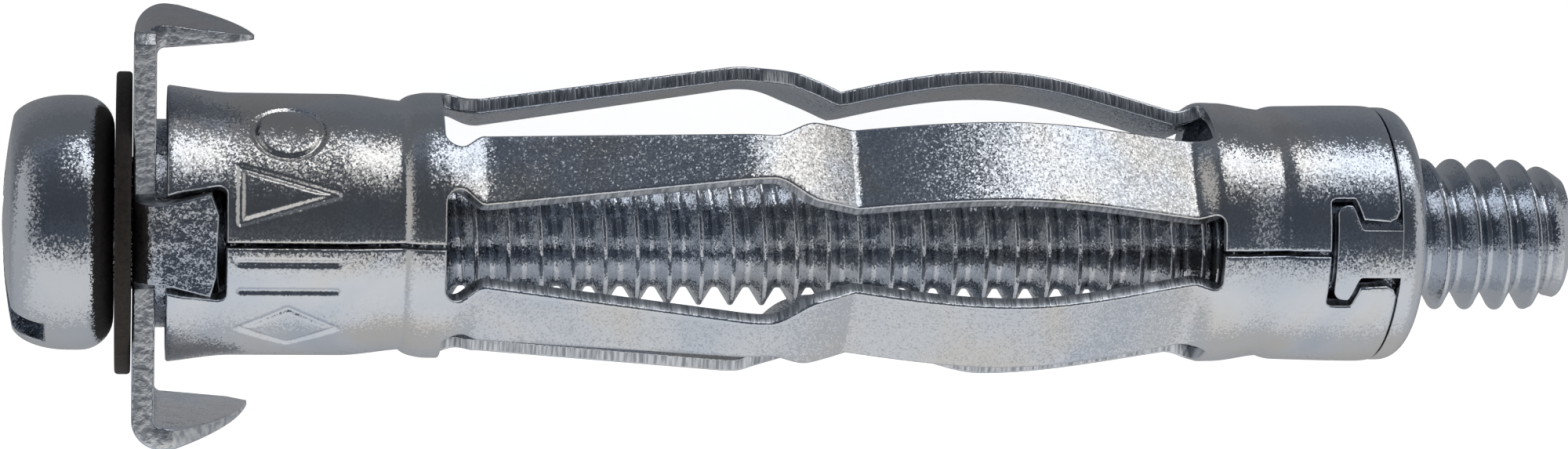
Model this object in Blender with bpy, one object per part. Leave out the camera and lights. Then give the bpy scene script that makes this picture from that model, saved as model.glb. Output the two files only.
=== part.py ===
"""Hollow wall anchor: a machine screw through a washer, a spurred flange, a slotted sleeve and an end nut.

Metres, +Z up. The screw lies along X, its head towards -X, and the sleeve's seam is on top.
Shapes are drawn from the plane under the screw's head (x = 0) and from the screw's axis, and
an empty then carries them to their place, so that the part rests on z = 0 about its origin.
"""

import math
from collections import namedtuple

import bmesh
import bpy
from mathutils import Matrix, Vector

# Screw
THREAD_PITCH = 0.00127
THREAD_RADIUS = 0.0031
THREAD_DEPTH = 0.00072
THREAD_CREST = 0.00018
FLANK_ANGLE = math.radians(30)
SCREW_LENGTH = 0.0586
NECK_RADIUS = 0.0026
NECK_LENGTH = 0.0016
TIP_RADIUS = 0.00255
TIP_CHAMFER = 0.0013
THREAD_SEGMENTS = 14

# Screw head and its combined slot and cross recess
HEAD_RADIUS = 0.0050
HEAD_HEIGHT = 0.00433
HEAD_CROWN = 0.00035
HEAD_TOP_RUN = 0.0022
HEAD_TOP_ROUND = 0.0011
HEAD_FOOT_ROUND = 0.0013
SLOT_WIDTH = 0.0014
SLOT_DEPTH = 0.0017
SLOT_ANGLE = math.radians(-52.5)
RECESS_SPAN = 0.0052
RECESS_WIDTH = 0.00115
RECESS_DEPTH = 0.0028
RECESS_TAPER = 0.55

# Washer
WASHER_RADIUS = 0.00595
WASHER_THICKNESS = 0.00062
WASHER_ROUND = 0.00012

# Clearances
SEAT_GAP = 0.00005
BORE_CLEARANCE = 0.00025
THREAD_CLEARANCE = 0.00012
TAB_CLEARANCE = 0.00030
LUG_CLEARANCE = 0.00012
COLLAR_CLEARANCE = 0.00047
BOSS_CLEARANCE = 0.00037

# Flange
FLANGE_LENGTH = 0.0164
FLANGE_WIDTH = 0.0087
FLANGE_THICKNESS = 0.00088
FLANGE_CORNER = 0.0004
BEND_RADIUS = 0.0003
COLLAR_DEPTH = 0.0019
SPUR_REACH = 0.0036
SPUR_LEAN = math.radians(6.5)
SPUR_TIP_THICKNESS = 0.0002
SPUR_SHOULDER = 0.0014
SPUR_SLIT = 0.00025
TAB_NECK_WIDTH = 0.0031
TAB_END_WIDTH = 0.0040
TAB_REACH = 0.0024
TAB_RELIEF = 0.0003
TAB_END_BULGE = 0.0003

# Sleeve: sheet, ends and seam
SLEEVE_GAP = 0.00042
SLEEVE_RADIUS = 0.00517
SHEET = 0.0006
SEAM_GAP = 0.00018
LEGS = 5
COLLAR_LENGTH = 0.0107
END_COLLAR_LENGTH = 0.00722
FLARE_RISE = 0.00028
FLARE_LENGTH = 0.0026
GROOVE_FROM_WINDOW = 0.00160
GROOVE_DEPTH = 0.00024
GROOVE_RAMP = 0.0024
EAR_RISE = 0.00009
END_GROOVE_FROM_WINDOW = 0.0026
END_GROOVE_DEPTH = 0.00016
END_GROOVE_RISE = 0.0007
END_ROLL = 0.00006

# Sleeve: windows and legs, measured from the window's head end
WINDOW_LENGTH = 0.03076
LOBE_RADIUS = 0.0006
LOBE_HALF_WIDTH = 0.00229
NECK_AT = 0.0015
LEG_WIDTH_AT_NECK = 0.0030
LEG_WIDTH_AT_KNEE = 0.0019
LEG_WIDTH = 0.00348
LEG_HOLLOW = 0.00001
WIDENING_LENGTH = 0.0019
WINDOW_CORNER = 0.0004
CREASE_AT = 0.0016
CREASE_DROP = 0.00030
KNEE_AT = 0.01215
KNEE_RISE = 0.00121
KNEE_SLOPE = 0.1476
KNEE_ROUNDING = 0.0015
VALLEY_FROM_KNEE = 0.00385
VALLEY_RISE = 0.00011
CROWN_FROM_KNEE = 0.01005
CROWN_RISE = 0.00103
END_CREASE_FROM_END = 0.0011
END_CREASE_DROP = 0.0005
KNEE_BULGE = (0.88, 0.80, 0.78, 1.02, 0.96)
VALLEY_BULGE = (0.86, -0.40, 0.80, 1.02, 0.96)
CROWN_BULGE = (0.86, 0.66, 1.0, 1.02, 0.96)

# End nut
NUT_RIM = 0.00035
NUT_ROUND = 0.00085
NUT_THICKNESS = 0.00127
BOSS_LENGTH = 0.0037
LUG_HEAD_WIDTH = 0.0040
LUG_NECK_WIDTH = 0.0020
LUG_REACH = 0.00265
LUG_HEAD_LENGTH = 0.0006
LUG_FOOT_LENGTH = 0.0005
LUG_CORNER = 0.00045
LUG_SHEET = 0.00062
LUG_SINK = 0.00002

# Facets
ROUND_SEGMENTS = 40
ARC_STEPS = 5
TOUCH = 1e-7
MERGE = 1e-6
NEARLY_FLAT = 1e-3

# Places along the axis, from the plane under the head
WASHER_FACE = SEAT_GAP
FLANGE_FACE = WASHER_FACE + WASHER_THICKNESS + SEAT_GAP
WALL_FACE = FLANGE_FACE + FLANGE_THICKNESS
SLEEVE_START = WALL_FACE + SLEEVE_GAP
WINDOW_START = SLEEVE_START + COLLAR_LENGTH
WINDOW_END = WINDOW_START + WINDOW_LENGTH
SLEEVE_END = WINDOW_END + END_COLLAR_LENGTH
NUT_START = SLEEVE_END + SEAT_GAP
NUT_END = NUT_START + NUT_THICKNESS
CREASE = WINDOW_START + CREASE_AT
KNEE = WINDOW_START + KNEE_AT
VALLEY = KNEE + VALLEY_FROM_KNEE
CROWN = KNEE + CROWN_FROM_KNEE
END_CREASE = WINDOW_END - END_CREASE_FROM_END

BORE_RADIUS = THREAD_RADIUS + BORE_CLEARANCE
COLLAR_WALL = SLEEVE_RADIUS - SHEET - COLLAR_CLEARANCE - BORE_RADIUS
BOSS_RADIUS = SLEEVE_RADIUS - SHEET - BOSS_CLEARANCE
PITCH_ARC = 2 * math.pi * SLEEVE_RADIUS / LEGS
AXIS_HEIGHT = SLEEVE_RADIUS + CROWN_RISE + LEG_HOLLOW
MIDDLE = (SCREW_LENGTH - HEAD_HEIGHT) / 2

Knot = namedtuple("Knot", "at radius slope_in slope_out steps")


def clear_scene():
    for item in list(bpy.data.objects):
        bpy.data.objects.remove(item, do_unlink=True)


def metal(name, colour, roughness, metallic=1.0):
    material = bpy.data.materials.new(name)
    material.use_nodes = True
    shader = material.node_tree.nodes["Principled BSDF"]
    shader.inputs["Base Color"].default_value = (*colour, 1.0)
    shader.inputs["Roughness"].default_value = roughness
    shader.inputs["Metallic"].default_value = metallic
    return material


def add_piece(name, bm, material, parent, sharp=math.radians(32)):
    """Make a named object from the mesh, shaded smooth up to the sharp angle, under its carrier."""
    bmesh.ops.remove_doubles(bm, verts=bm.verts[:], dist=MERGE)
    bmesh.ops.recalc_face_normals(bm, faces=bm.faces[:])
    mesh = bpy.data.meshes.new(name)
    bm.to_mesh(mesh)
    bm.free()
    mesh.shade_smooth()
    mesh.set_sharp_from_angle(angle=sharp)
    mesh.materials.append(material)
    piece = bpy.data.objects.new(name, mesh)
    bpy.context.scene.collection.objects.link(piece)
    piece.parent = parent
    return piece


def add_axis(name, parent=None):
    """An empty on the screw's axis that carries the pieces of one body."""
    empty = bpy.data.objects.new(name, None)
    bpy.context.scene.collection.objects.link(empty)
    empty.parent = parent
    return empty


def combine(bm, other, operation):
    """Boolean of two closed meshes: the first is changed by the second, which is used up."""
    objects = []
    for part in (bm, other):
        bmesh.ops.recalc_face_normals(part, faces=part.faces[:])
        mesh = bpy.data.meshes.new("shape")
        part.to_mesh(mesh)
        part.free()
        item = bpy.data.objects.new("shape", mesh)
        bpy.context.scene.collection.objects.link(item)
        objects.append(item)
    target, tool = objects
    modifier = target.modifiers.new("combine", "BOOLEAN")
    modifier.operation = operation
    modifier.object = tool
    modifier.solver = "EXACT"
    bpy.context.view_layer.update()
    shape = target.evaluated_get(bpy.context.evaluated_depsgraph_get()).to_mesh()
    result = bmesh.new()
    result.from_mesh(shape)
    for item in objects:
        mesh = item.data
        bpy.data.objects.remove(item, do_unlink=True)
        bpy.data.meshes.remove(mesh)
    return result


def turned(profile, segments=ROUND_SEGMENTS):
    """Turn a closed outline of (x, radius) points about the X axis."""
    bm = bmesh.new()
    ring = [bm.verts.new((x, 0.0, radius)) for x, radius in profile]
    edges = [bm.edges.new((ring[i - 1], ring[i])) for i in range(len(ring))]
    bmesh.ops.spin(
        bm,
        geom=ring + edges,
        cent=(0, 0, 0),
        axis=(1, 0, 0),
        angle=2 * math.pi,
        steps=segments,
        use_merge=True,
    )
    bmesh.ops.remove_doubles(bm, verts=bm.verts[:], dist=TOUCH)
    bmesh.ops.recalc_face_normals(bm, faces=bm.faces[:])
    return bm


def prism(outline, low, high):
    """Extrude a flat outline of (x, y) points from z = low to z = high."""
    bm = bmesh.new()
    face = bm.faces.new([bm.verts.new((x, y, low)) for x, y in outline])
    made = bmesh.ops.extrude_face_region(bm, geom=[face])
    lifted = [item for item in made["geom"] if isinstance(item, bmesh.types.BMVert)]
    bmesh.ops.translate(bm, verts=lifted, vec=(0, 0, high - low))
    bmesh.ops.recalc_face_normals(bm, faces=bm.faces[:])
    return bm


def arc(centre, radius, start, end, steps=ARC_STEPS):
    """Points along an arc, its angles in degrees."""
    points = []
    for i in range(steps + 1):
        angle = math.radians(start + (end - start) * i / steps)
        points.append((centre[0] + radius * math.cos(angle), centre[1] + radius * math.sin(angle)))
    return points


def smooth(share):
    share = min(max(share, 0.0), 1.0)
    return share * share * (3 - 2 * share)


def blend_points(first, last, steps):
    """Points of an S-curve that leaves and arrives along the first axis."""
    points = []
    for i in range(1, steps):
        share = i / steps
        points.append(
            (first[0] + (last[0] - first[0]) * share, first[1] + (last[1] - first[1]) * smooth(share))
        )
    return points


def mirrored(half):
    """Close a half outline, drawn on the positive side, with its mirror image."""
    return half + [(x, -y) for x, y in reversed(half)]


def cut_lines(bm, axis, places, keep=None):
    """Score the faces that keep allows with lines across the given axis (0 = x, 1 = y)."""
    normal = Vector((0, 0, 0))
    normal[axis] = 1.0
    for place in places:
        faces = [face for face in bm.faces if keep is None or keep(face.calc_center_median())]
        edges = {edge for face in faces for edge in face.edges}
        verts = {vert for face in faces for vert in face.verts}
        bmesh.ops.bisect_plane(
            bm,
            geom=faces + list(edges) + list(verts),
            dist=TOUCH,
            plane_co=normal * place,
            plane_no=normal,
        )


def threaded_rod(radius, depth, crest, start, end):
    """A solid right-handed thread along X, cut square at both ends.

    The crest passes the +Z side at every whole pitch, so a rod and its nut mesh by themselves.
    """
    flank = depth * math.tan(FLANK_ANGLE)
    foot = crest / 2 + flank
    first = (math.floor(start / THREAD_PITCH) - 1) * THREAD_PITCH
    turns = math.ceil((end - first) / THREAD_PITCH) + 1
    profile = [
        (-foot, radius - depth),
        (-crest / 2, radius),
        (crest / 2, radius),
        (foot, radius - depth),
        (THREAD_PITCH - foot, radius - depth),
    ]
    bm = bmesh.new()
    row = [bm.verts.new((first + along, 0.0, out)) for along, out in profile]
    edges = [bm.edges.new((row[i], row[i + 1])) for i in range(len(row) - 1)]
    bmesh.ops.spin(
        bm,
        geom=row + edges,
        cent=(0, 0, 0),
        axis=(1, 0, 0),
        dvec=(THREAD_PITCH / THREAD_SEGMENTS, 0, 0),
        angle=2 * math.pi * turns,
        steps=turns * THREAD_SEGMENTS,
        use_merge=False,
    )
    bmesh.ops.remove_doubles(bm, verts=bm.verts[:], dist=TOUCH)
    for place, outward in ((start, -1), (end, 1)):
        cut = bmesh.ops.bisect_plane(
            bm,
            geom=bm.verts[:] + bm.edges[:] + bm.faces[:],
            dist=TOUCH,
            plane_co=(place, 0, 0),
            plane_no=(outward, 0, 0),
            clear_outer=True,
        )
        rim = [item for item in cut["geom_cut"] if isinstance(item, bmesh.types.BMEdge)]
        bmesh.ops.edgeloop_fill(bm, edges=rim)
    bmesh.ops.recalc_face_normals(bm, faces=bm.faces[:])
    return bm


def chamfer_tip(bm):
    """Draw the last threads in towards the screw's tip."""
    slope = (THREAD_RADIUS - TIP_RADIUS) / TIP_CHAMFER
    for vert in bm.verts:
        limit = TIP_RADIUS + (SCREW_LENGTH - vert.co.x) * slope
        out = math.hypot(vert.co.y, vert.co.z)
        if out > limit:
            vert.co.y *= limit / out
            vert.co.z *= limit / out


def head_profile():
    """Outline of the head and the neck that runs into the thread, as (x, radius)."""
    shoulder = HEAD_HEIGHT - HEAD_CROWN - HEAD_TOP_RUN
    top = HEAD_RADIUS - HEAD_TOP_ROUND
    foot = HEAD_RADIUS - HEAD_FOOT_ROUND
    points = [(NECK_LENGTH, TOUCH), (NECK_LENGTH, NECK_RADIUS), (0.0, NECK_RADIUS), (0.0, foot)]
    points += arc((-HEAD_FOOT_ROUND, foot), HEAD_FOOT_ROUND, 0, 90, 4)[1:]
    for along, out in arc((0, 0), 1, 90, 165, 6):
        points.append((-shoulder + HEAD_TOP_RUN * along, top + HEAD_TOP_ROUND * out))
    edge_x, edge_radius = points[-1]
    for i in range(1, 5):
        share = i / 4
        crown = -HEAD_HEIGHT + (HEAD_HEIGHT + edge_x) * (1 - share) ** 2
        points.append((crown, max(edge_radius * (1 - share), TOUCH)))
    return points


def cross_recess():
    """Tapered cross with one pair of wings along the slot."""
    mouth = -HEAD_HEIGHT - HEAD_CROWN
    bm = bmesh.new()
    half, wing = RECESS_SPAN / 2, RECESS_WIDTH / 2
    corners = [(half, -wing), (half, wing), (wing, wing)]
    outline = []
    for quarter in range(4):
        turn = Matrix.Rotation(quarter * math.pi / 2, 3, "X")
        outline += [turn @ Vector((mouth, y, z)) for y, z in corners]
    face = bm.faces.new([bm.verts.new(point) for point in outline])
    made = bmesh.ops.extrude_face_region(bm, geom=[face])
    floor = [item for item in made["geom"] if isinstance(item, bmesh.types.BMVert)]
    bmesh.ops.translate(bm, verts=floor, vec=(RECESS_DEPTH + HEAD_CROWN, 0, 0))
    bmesh.ops.scale(bm, verts=floor, vec=(1, RECESS_TAPER, RECESS_TAPER))
    bmesh.ops.rotate(bm, verts=bm.verts[:], cent=(0, 0, 0), matrix=Matrix.Rotation(SLOT_ANGLE, 3, "X"))
    return bm


def driver_slot():
    """Straight slot across the whole head."""
    bm = bmesh.new()
    bmesh.ops.create_cube(bm, size=1.0)
    bmesh.ops.scale(bm, verts=bm.verts[:], vec=(2 * SLOT_DEPTH, SLOT_WIDTH, 3 * HEAD_RADIUS))
    bmesh.ops.translate(bm, verts=bm.verts[:], vec=(-HEAD_HEIGHT, 0, 0))
    bmesh.ops.rotate(bm, verts=bm.verts[:], cent=(0, 0, 0), matrix=Matrix.Rotation(-SLOT_ANGLE, 3, "X"))
    return bm


def make_screw(material, parent):
    rod = threaded_rod(THREAD_RADIUS, THREAD_DEPTH, THREAD_CREST, NECK_LENGTH / 2, SCREW_LENGTH)
    chamfer_tip(rod)
    head = turned(head_profile())
    head = combine(head, driver_slot(), "DIFFERENCE")
    head = combine(head, cross_recess(), "DIFFERENCE")
    add_piece("screw", combine(head, rod, "UNION"), material, parent)


def make_washer(material, parent):
    inner, outer, soft = BORE_RADIUS, WASHER_RADIUS, WASHER_ROUND
    low, high = WASHER_FACE, WASHER_FACE + WASHER_THICKNESS
    profile = [
        (low, inner),
        (low, outer - soft),
        (low + soft, outer),
        (high - soft, outer),
        (high, outer - soft),
        (high, inner),
    ]
    add_piece("washer", turned(profile), material, parent)


def spur_outline(bend_line, arc_length):
    """Outline of one end of the flange's blank: a shoulder, a slit and the tapering spur."""
    half = FLANGE_WIDTH / 2
    width = FLANGE_WIDTH - SPUR_SHOULDER
    edge = half - SPUR_SHOULDER
    root = bend_line + arc_length
    tip = root + SPUR_REACH - BEND_RADIUS
    heel = (root + 0.12 * SPUR_REACH, -half)
    bow = (root + 0.80 * SPUR_REACH, -half + 0.40 * width)
    point = (tip, edge - 0.06 * width)
    points = [heel]
    for i in range(1, 7):
        share = i / 6
        points.append(
            tuple(
                heel[k] * (1 - share) ** 2 + 2 * bow[k] * share * (1 - share) + point[k] * share**2
                for k in range(2)
            )
        )
    points += [(root + 0.7 * SPUR_REACH, edge), (bend_line, edge), (bend_line, edge + SPUR_SLIT)]
    return points


def bend(vert, line, angle, across, thinning=0.0):
    """Fold the flange's sheet past a line about an axis parallel to it, towards +X.

    Across is the unit vector in the sheet's plane that points away from the fold. Thinning is
    the share of the thickness that each metre past the bend takes off the inner face.
    """
    run = vert.co.dot(across) - line
    if run <= 0:
        return
    neutral = BEND_RADIUS + FLANGE_THICKNESS / 2
    turn = min(run / neutral, angle)
    straight = max(run - neutral * angle, 0.0)
    depth = (vert.co.x - FLANGE_FACE) * (1 - thinning * straight)
    radius = BEND_RADIUS + FLANGE_THICKNESS - depth
    centre = WALL_FACE + BEND_RADIUS
    x = centre - radius * math.cos(turn) + straight * math.sin(turn)
    out = line + radius * math.sin(turn) + straight * math.cos(turn)
    vert.co += across * (out - line - run)
    vert.co.x = x


def flange_blank():
    """The flange's sheet before it is folded, drawn in (y, z): plate, two spurs and two lock tabs."""
    neutral = BEND_RADIUS + FLANGE_THICKNESS / 2
    spur_line = FLANGE_LENGTH / 2 - BEND_RADIUS - FLANGE_THICKNESS
    spur_arc = neutral * (math.pi / 2 + SPUR_LEAN)
    tab_line = SLEEVE_RADIUS + FLARE_RISE / 2 - BEND_RADIUS - FLANGE_THICKNESS
    tab_arc = neutral * math.pi / 2
    half_length, half_width = FLANGE_LENGTH / 2, FLANGE_WIDTH / 2
    neck, end = TAB_NECK_WIDTH / 2, TAB_END_WIDTH / 2
    tab_tip = tab_line + tab_arc + TAB_REACH - BEND_RADIUS
    tab = [
        (neck + TAB_RELIEF, half_width),
        (neck + TAB_RELIEF, tab_line - TAB_RELIEF),
        (neck, tab_line - TAB_RELIEF),
        (neck, tab_line + tab_arc),
        (end, tab_tip - TAB_END_BULGE),
        (0.6 * end, tab_tip),
        (-0.6 * end, tab_tip - 0.3 * TAB_END_BULGE),
        (-end, tab_tip - TAB_END_BULGE),
        (-neck, tab_line + tab_arc),
        (-neck, tab_line - TAB_RELIEF),
        (-neck - TAB_RELIEF, tab_line - TAB_RELIEF),
        (-neck - TAB_RELIEF, half_width),
    ]
    shoulder = [
        (half_length - FLANGE_CORNER * 0.5, half_width - SPUR_SHOULDER + SPUR_SLIT),
        (half_length - FLANGE_CORNER * 0.5, half_width - FLANGE_CORNER),
        (half_length - FLANGE_CORNER * 1.5, half_width),
    ]
    quarter = [(spur_line, -half_width)] + spur_outline(spur_line, spur_arc) + shoulder
    side = quarter + tab
    outline = side + [(-y, -z) for y, z in side]
    return outline, spur_line, spur_arc, tab_line, tab_arc


def make_flange(material, parent):
    outline, spur_line, spur_arc, tab_line, tab_arc = flange_blank()
    bm = prism(outline, FLANGE_FACE, WALL_FACE)
    folds = [WASHER_RADIUS + BORE_CLEARANCE]
    folds += [spur_line + spur_arc * i / 4 for i in range(5)]
    cut_lines(bm, 0, folds + [-place for place in folds])
    folds = [tab_line + tab_arc * i / 4 for i in range(5)]
    cut_lines(bm, 1, folds + [-place for place in folds])
    for vert in bm.verts:
        vert.co = Vector((vert.co.z, vert.co.x, vert.co.y))
    slit = FLANGE_WIDTH / 2 - SPUR_SHOULDER + SPUR_SLIT / 2
    thinning = (1 - SPUR_TIP_THICKNESS / FLANGE_THICKNESS) / (SPUR_REACH - BEND_RADIUS)
    for vert in bm.verts:
        if abs(vert.co.z) > tab_line and abs(vert.co.y) < TAB_END_WIDTH:
            side = Vector((0, 0, math.copysign(1, vert.co.z)))
            bend(vert, tab_line, math.pi / 2, side)
        elif vert.co.z * math.copysign(1, vert.co.y) < slit:
            side = Vector((0, math.copysign(1, vert.co.y), 0))
            bend(vert, spur_line, math.pi / 2 + SPUR_LEAN, side, thinning)
    hole = turned(
        [
            (FLANGE_FACE - FLANGE_THICKNESS, TOUCH),
            (FLANGE_FACE - FLANGE_THICKNESS, BORE_RADIUS + COLLAR_WALL / 2),
            (WALL_FACE + FLANGE_THICKNESS, BORE_RADIUS + COLLAR_WALL / 2),
            (WALL_FACE + FLANGE_THICKNESS, TOUCH),
        ]
    )
    bm = combine(bm, hole, "DIFFERENCE")
    lip = COLLAR_WALL / 4
    collar = turned(
        [
            (FLANGE_FACE + lip / 2, BORE_RADIUS + lip),
            (FLANGE_FACE + lip / 2, BORE_RADIUS + COLLAR_WALL - lip / 2),
            (WALL_FACE - lip, BORE_RADIUS + COLLAR_WALL),
            (WALL_FACE + COLLAR_DEPTH - lip, BORE_RADIUS + COLLAR_WALL),
            (WALL_FACE + COLLAR_DEPTH, BORE_RADIUS + COLLAR_WALL - lip),
            (WALL_FACE + COLLAR_DEPTH, BORE_RADIUS),
            (FLANGE_FACE + lip * 1.5, BORE_RADIUS),
        ]
    )
    add_piece("flange", combine(bm, collar, "UNION"), material, parent)


def sleeve_knots():
    """Outer radius along the sleeve: each knot has its place, radius and the slope on each side."""
    base = SLEEVE_RADIUS
    groove = WINDOW_START - GROOVE_FROM_WINDOW
    end_groove = WINDOW_END + END_GROOVE_FROM_WINDOW
    ramp_end = KNEE - KNEE_ROUNDING
    ramp_radius = base - CREASE_DROP + KNEE_SLOPE * (ramp_end - CREASE)
    knee_radius = base + KNEE_RISE
    return [
        Knot(SLEEVE_START, base + FLARE_RISE, 0, -0.10, 3),
        Knot(SLEEVE_START + FLARE_LENGTH, base, 0, 0, 1),
        Knot(groove - GROOVE_RAMP, base, 0, 0, 3),
        Knot(groove, base - GROOVE_DEPTH, -0.08, 0.9, 2),
        Knot(groove + 0.45 * GROOVE_FROM_WINDOW, base + EAR_RISE * 0.6, 0.2, 0.2, 1),
        Knot(WINDOW_START - 0.3 * GROOVE_FROM_WINDOW, base + EAR_RISE, 0, 0, 1),
        Knot(WINDOW_START, base + EAR_RISE, 0, 0, 4),
        Knot(CREASE, base - CREASE_DROP, 0, KNEE_SLOPE, 3),
        Knot(ramp_end, min(ramp_radius, knee_radius), KNEE_SLOPE, KNEE_SLOPE, 3),
        Knot(KNEE, knee_radius, 0, 0, 8),
        Knot(VALLEY, base + VALLEY_RISE, -0.5, 0.23, 8),
        Knot(CROWN, base + CROWN_RISE, 0, 0, 9),
        Knot(END_CREASE, base - END_CREASE_DROP, -0.27, 0, 4),
        Knot(WINDOW_END, base + EAR_RISE, 0.1, 0.1, 1),
        Knot(WINDOW_END + 0.25 * END_GROOVE_FROM_WINDOW, base + EAR_RISE, 0, 0, 3),
        Knot(end_groove, base - END_GROOVE_DEPTH, -0.05, 0.5, 2),
        Knot(end_groove + END_GROOVE_RISE, base, 0.02, 0.02, 1),
        Knot(SLEEVE_END - END_GROOVE_RISE, base + END_ROLL, 0, 0, 2),
        Knot(SLEEVE_END, base, -0.25, 0, 0),
    ]


def curve_radius(knots, at):
    """Radius at one place, on a cubic between the two knots around it."""
    at = min(max(at, knots[0].at), knots[-1].at)
    for left, right in zip(knots, knots[1:]):
        if at <= right.at:
            break
    span = right.at - left.at
    t = (at - left.at) / span
    return (
        left.radius * (1 + 2 * t) * (1 - t) ** 2
        + right.radius * t * t * (3 - 2 * t)
        + left.slope_out * span * t * (1 - t) ** 2
        - right.slope_in * span * t * t * (1 - t)
    )


def leg_radius(knots, at, leg):
    """Radius of one leg, whose bulges stand above the straight line from crease to crease."""
    radius = curve_radius(knots, at)
    if not CREASE < at < END_CREASE:
        return radius
    share = (at - CREASE) / (END_CREASE - CREASE)
    line = SLEEVE_RADIUS - CREASE_DROP + (CREASE_DROP - END_CREASE_DROP) * share
    fall = smooth((at - KNEE) / (VALLEY - KNEE))
    rise = smooth((at - VALLEY) / (CROWN - VALLEY))
    bulge = KNEE_BULGE[leg] + (VALLEY_BULGE[leg] - KNEE_BULGE[leg]) * fall
    bulge += (CROWN_BULGE[leg] - VALLEY_BULGE[leg]) * rise
    return line + bulge * (radius - line)


def flatness(at):
    """0 where the sleeve is round, 1 where its legs are flat across."""
    return min(
        smooth((at - WINDOW_START) / (CREASE - WINDOW_START)),
        smooth((WINDOW_END - at) / (WINDOW_END - END_CREASE)),
    )


def roll(vert, knots):
    """Carry a point of the flat blank (x along, y around, z into the sheet) to the formed sleeve."""
    at, around, depth = vert.co
    leg = min(max(int(around / PITCH_ARC), 0), LEGS - 1)
    middle = (leg + 0.5) * PITCH_ARC
    flat = flatness(at)
    step = SHEET / 20
    radius = leg_radius(knots, at, leg)
    ahead = leg_radius(knots, at + step, leg)
    behind = leg_radius(knots, at - step, leg)
    slope = (ahead - behind) / (2 * step)
    tilt = math.hypot(1, slope)
    side = (around - middle) * ((1 - flat) * radius / SLEEVE_RADIUS + flat)
    curvature = (1 - flat) / radius - flat * 8 * LEG_HOLLOW / LEG_WIDTH**2
    if abs(curvature) < NEARLY_FLAT:
        curvature = NEARLY_FLAT
    angle = curvature * side
    inward = depth / tilt
    out = radius - (1 - math.cos(angle)) / curvature - inward * math.cos(angle)
    across = math.sin(angle) / curvature - inward * math.sin(angle)
    turn = middle / SLEEVE_RADIUS
    vert.co.x = at + depth * slope / tilt
    vert.co.y = -out * math.sin(turn) - across * math.cos(turn)
    vert.co.z = out * math.cos(turn) - across * math.sin(turn)


def window_outline():
    """Half of a window, from its head end to its far end, as (along, half width)."""
    half_pitch = PITCH_ARC / 2
    lobe = LOBE_HALF_WIDTH - LOBE_RADIUS
    neck = (WINDOW_START + NECK_AT, half_pitch - LEG_WIDTH_AT_NECK / 2)
    knee = (KNEE + 0.0005, half_pitch - LEG_WIDTH_AT_KNEE / 2)
    wide = (knee[0] + WIDENING_LENGTH, half_pitch - LEG_WIDTH / 2)
    points = arc((WINDOW_START + LOBE_RADIUS, lobe), LOBE_RADIUS, 180, 90, 5)
    points += blend_points(points[-1], neck, 5)
    points += [neck, knee]
    points += blend_points(knee, wide, 6)
    points += [wide]
    points += arc((WINDOW_END - WINDOW_CORNER, wide[1] - WINDOW_CORNER), WINDOW_CORNER, 90, 0, 3)
    return mirrored(points)


def notch_outline():
    """Dovetail notch at the sleeve's head end, round the flange's lock tab."""
    mouth = TAB_NECK_WIDTH / 2 + TAB_CLEARANCE
    inner = TAB_END_WIDTH / 2 + TAB_CLEARANCE
    floor = WALL_FACE + TAB_REACH + TAB_CLEARANCE
    corner = TAB_CLEARANCE
    points = [(SLEEVE_START - SHEET, mouth), (SLEEVE_START, mouth)]
    points += [(SLEEVE_START + 0.25 * (floor - SLEEVE_START), mouth + 0.35 * (inner - mouth))]
    points += arc((floor - corner, inner - corner), corner, 100, 0, 4)
    return mirrored(points)


def lug_half(grow=0.0):
    """Half outline of the nut's T-shaped lug, from its free edge to the nut, grown by a clearance."""
    head, neck = LUG_HEAD_WIDTH / 2 + grow, LUG_NECK_WIDTH / 2 + grow
    edge = NUT_START - LUG_REACH - grow
    corner = LUG_CORNER
    shoulder = (NUT_START - LUG_REACH + LUG_HEAD_LENGTH + grow, head)
    foot = (shoulder[0] + LUG_FOOT_LENGTH, neck)
    points = arc((edge + corner, head - corner), corner, 180, 90, 3)
    points += [shoulder]
    points += blend_points(shoulder, foot, 4)
    points += [foot]
    return points


def slot_outline():
    """T-shaped slot at the sleeve's far end: the lug's outline with room round it."""
    mouth = LUG_NECK_WIDTH / 2 + 2.5 * LUG_CLEARANCE
    points = [point for point in lug_half(LUG_CLEARANCE) if point[1] > mouth + SHEET / 4]
    edge = points[0][0] - LUG_CLEARANCE
    wide = LUG_HEAD_WIDTH / 2 + 2 * LUG_CLEARANCE
    shoulder = points[-4][0]
    lip = 0.5 * (SLEEVE_END - shoulder)
    points = [(edge, wide - LUG_CLEARANCE), (edge + LUG_CLEARANCE, wide), (shoulder, wide)]
    points += [point for point in lug_half(LUG_CLEARANCE)[-5:] if point[1] > mouth][1:]
    points += [(SLEEVE_END - lip / 2, mouth), (SLEEVE_END - lip / 6, mouth + lip / 6)]
    points += [(SLEEVE_END, mouth + lip / 2), (SLEEVE_END + SHEET, mouth + lip / 2)]
    return mirrored(points)


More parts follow.
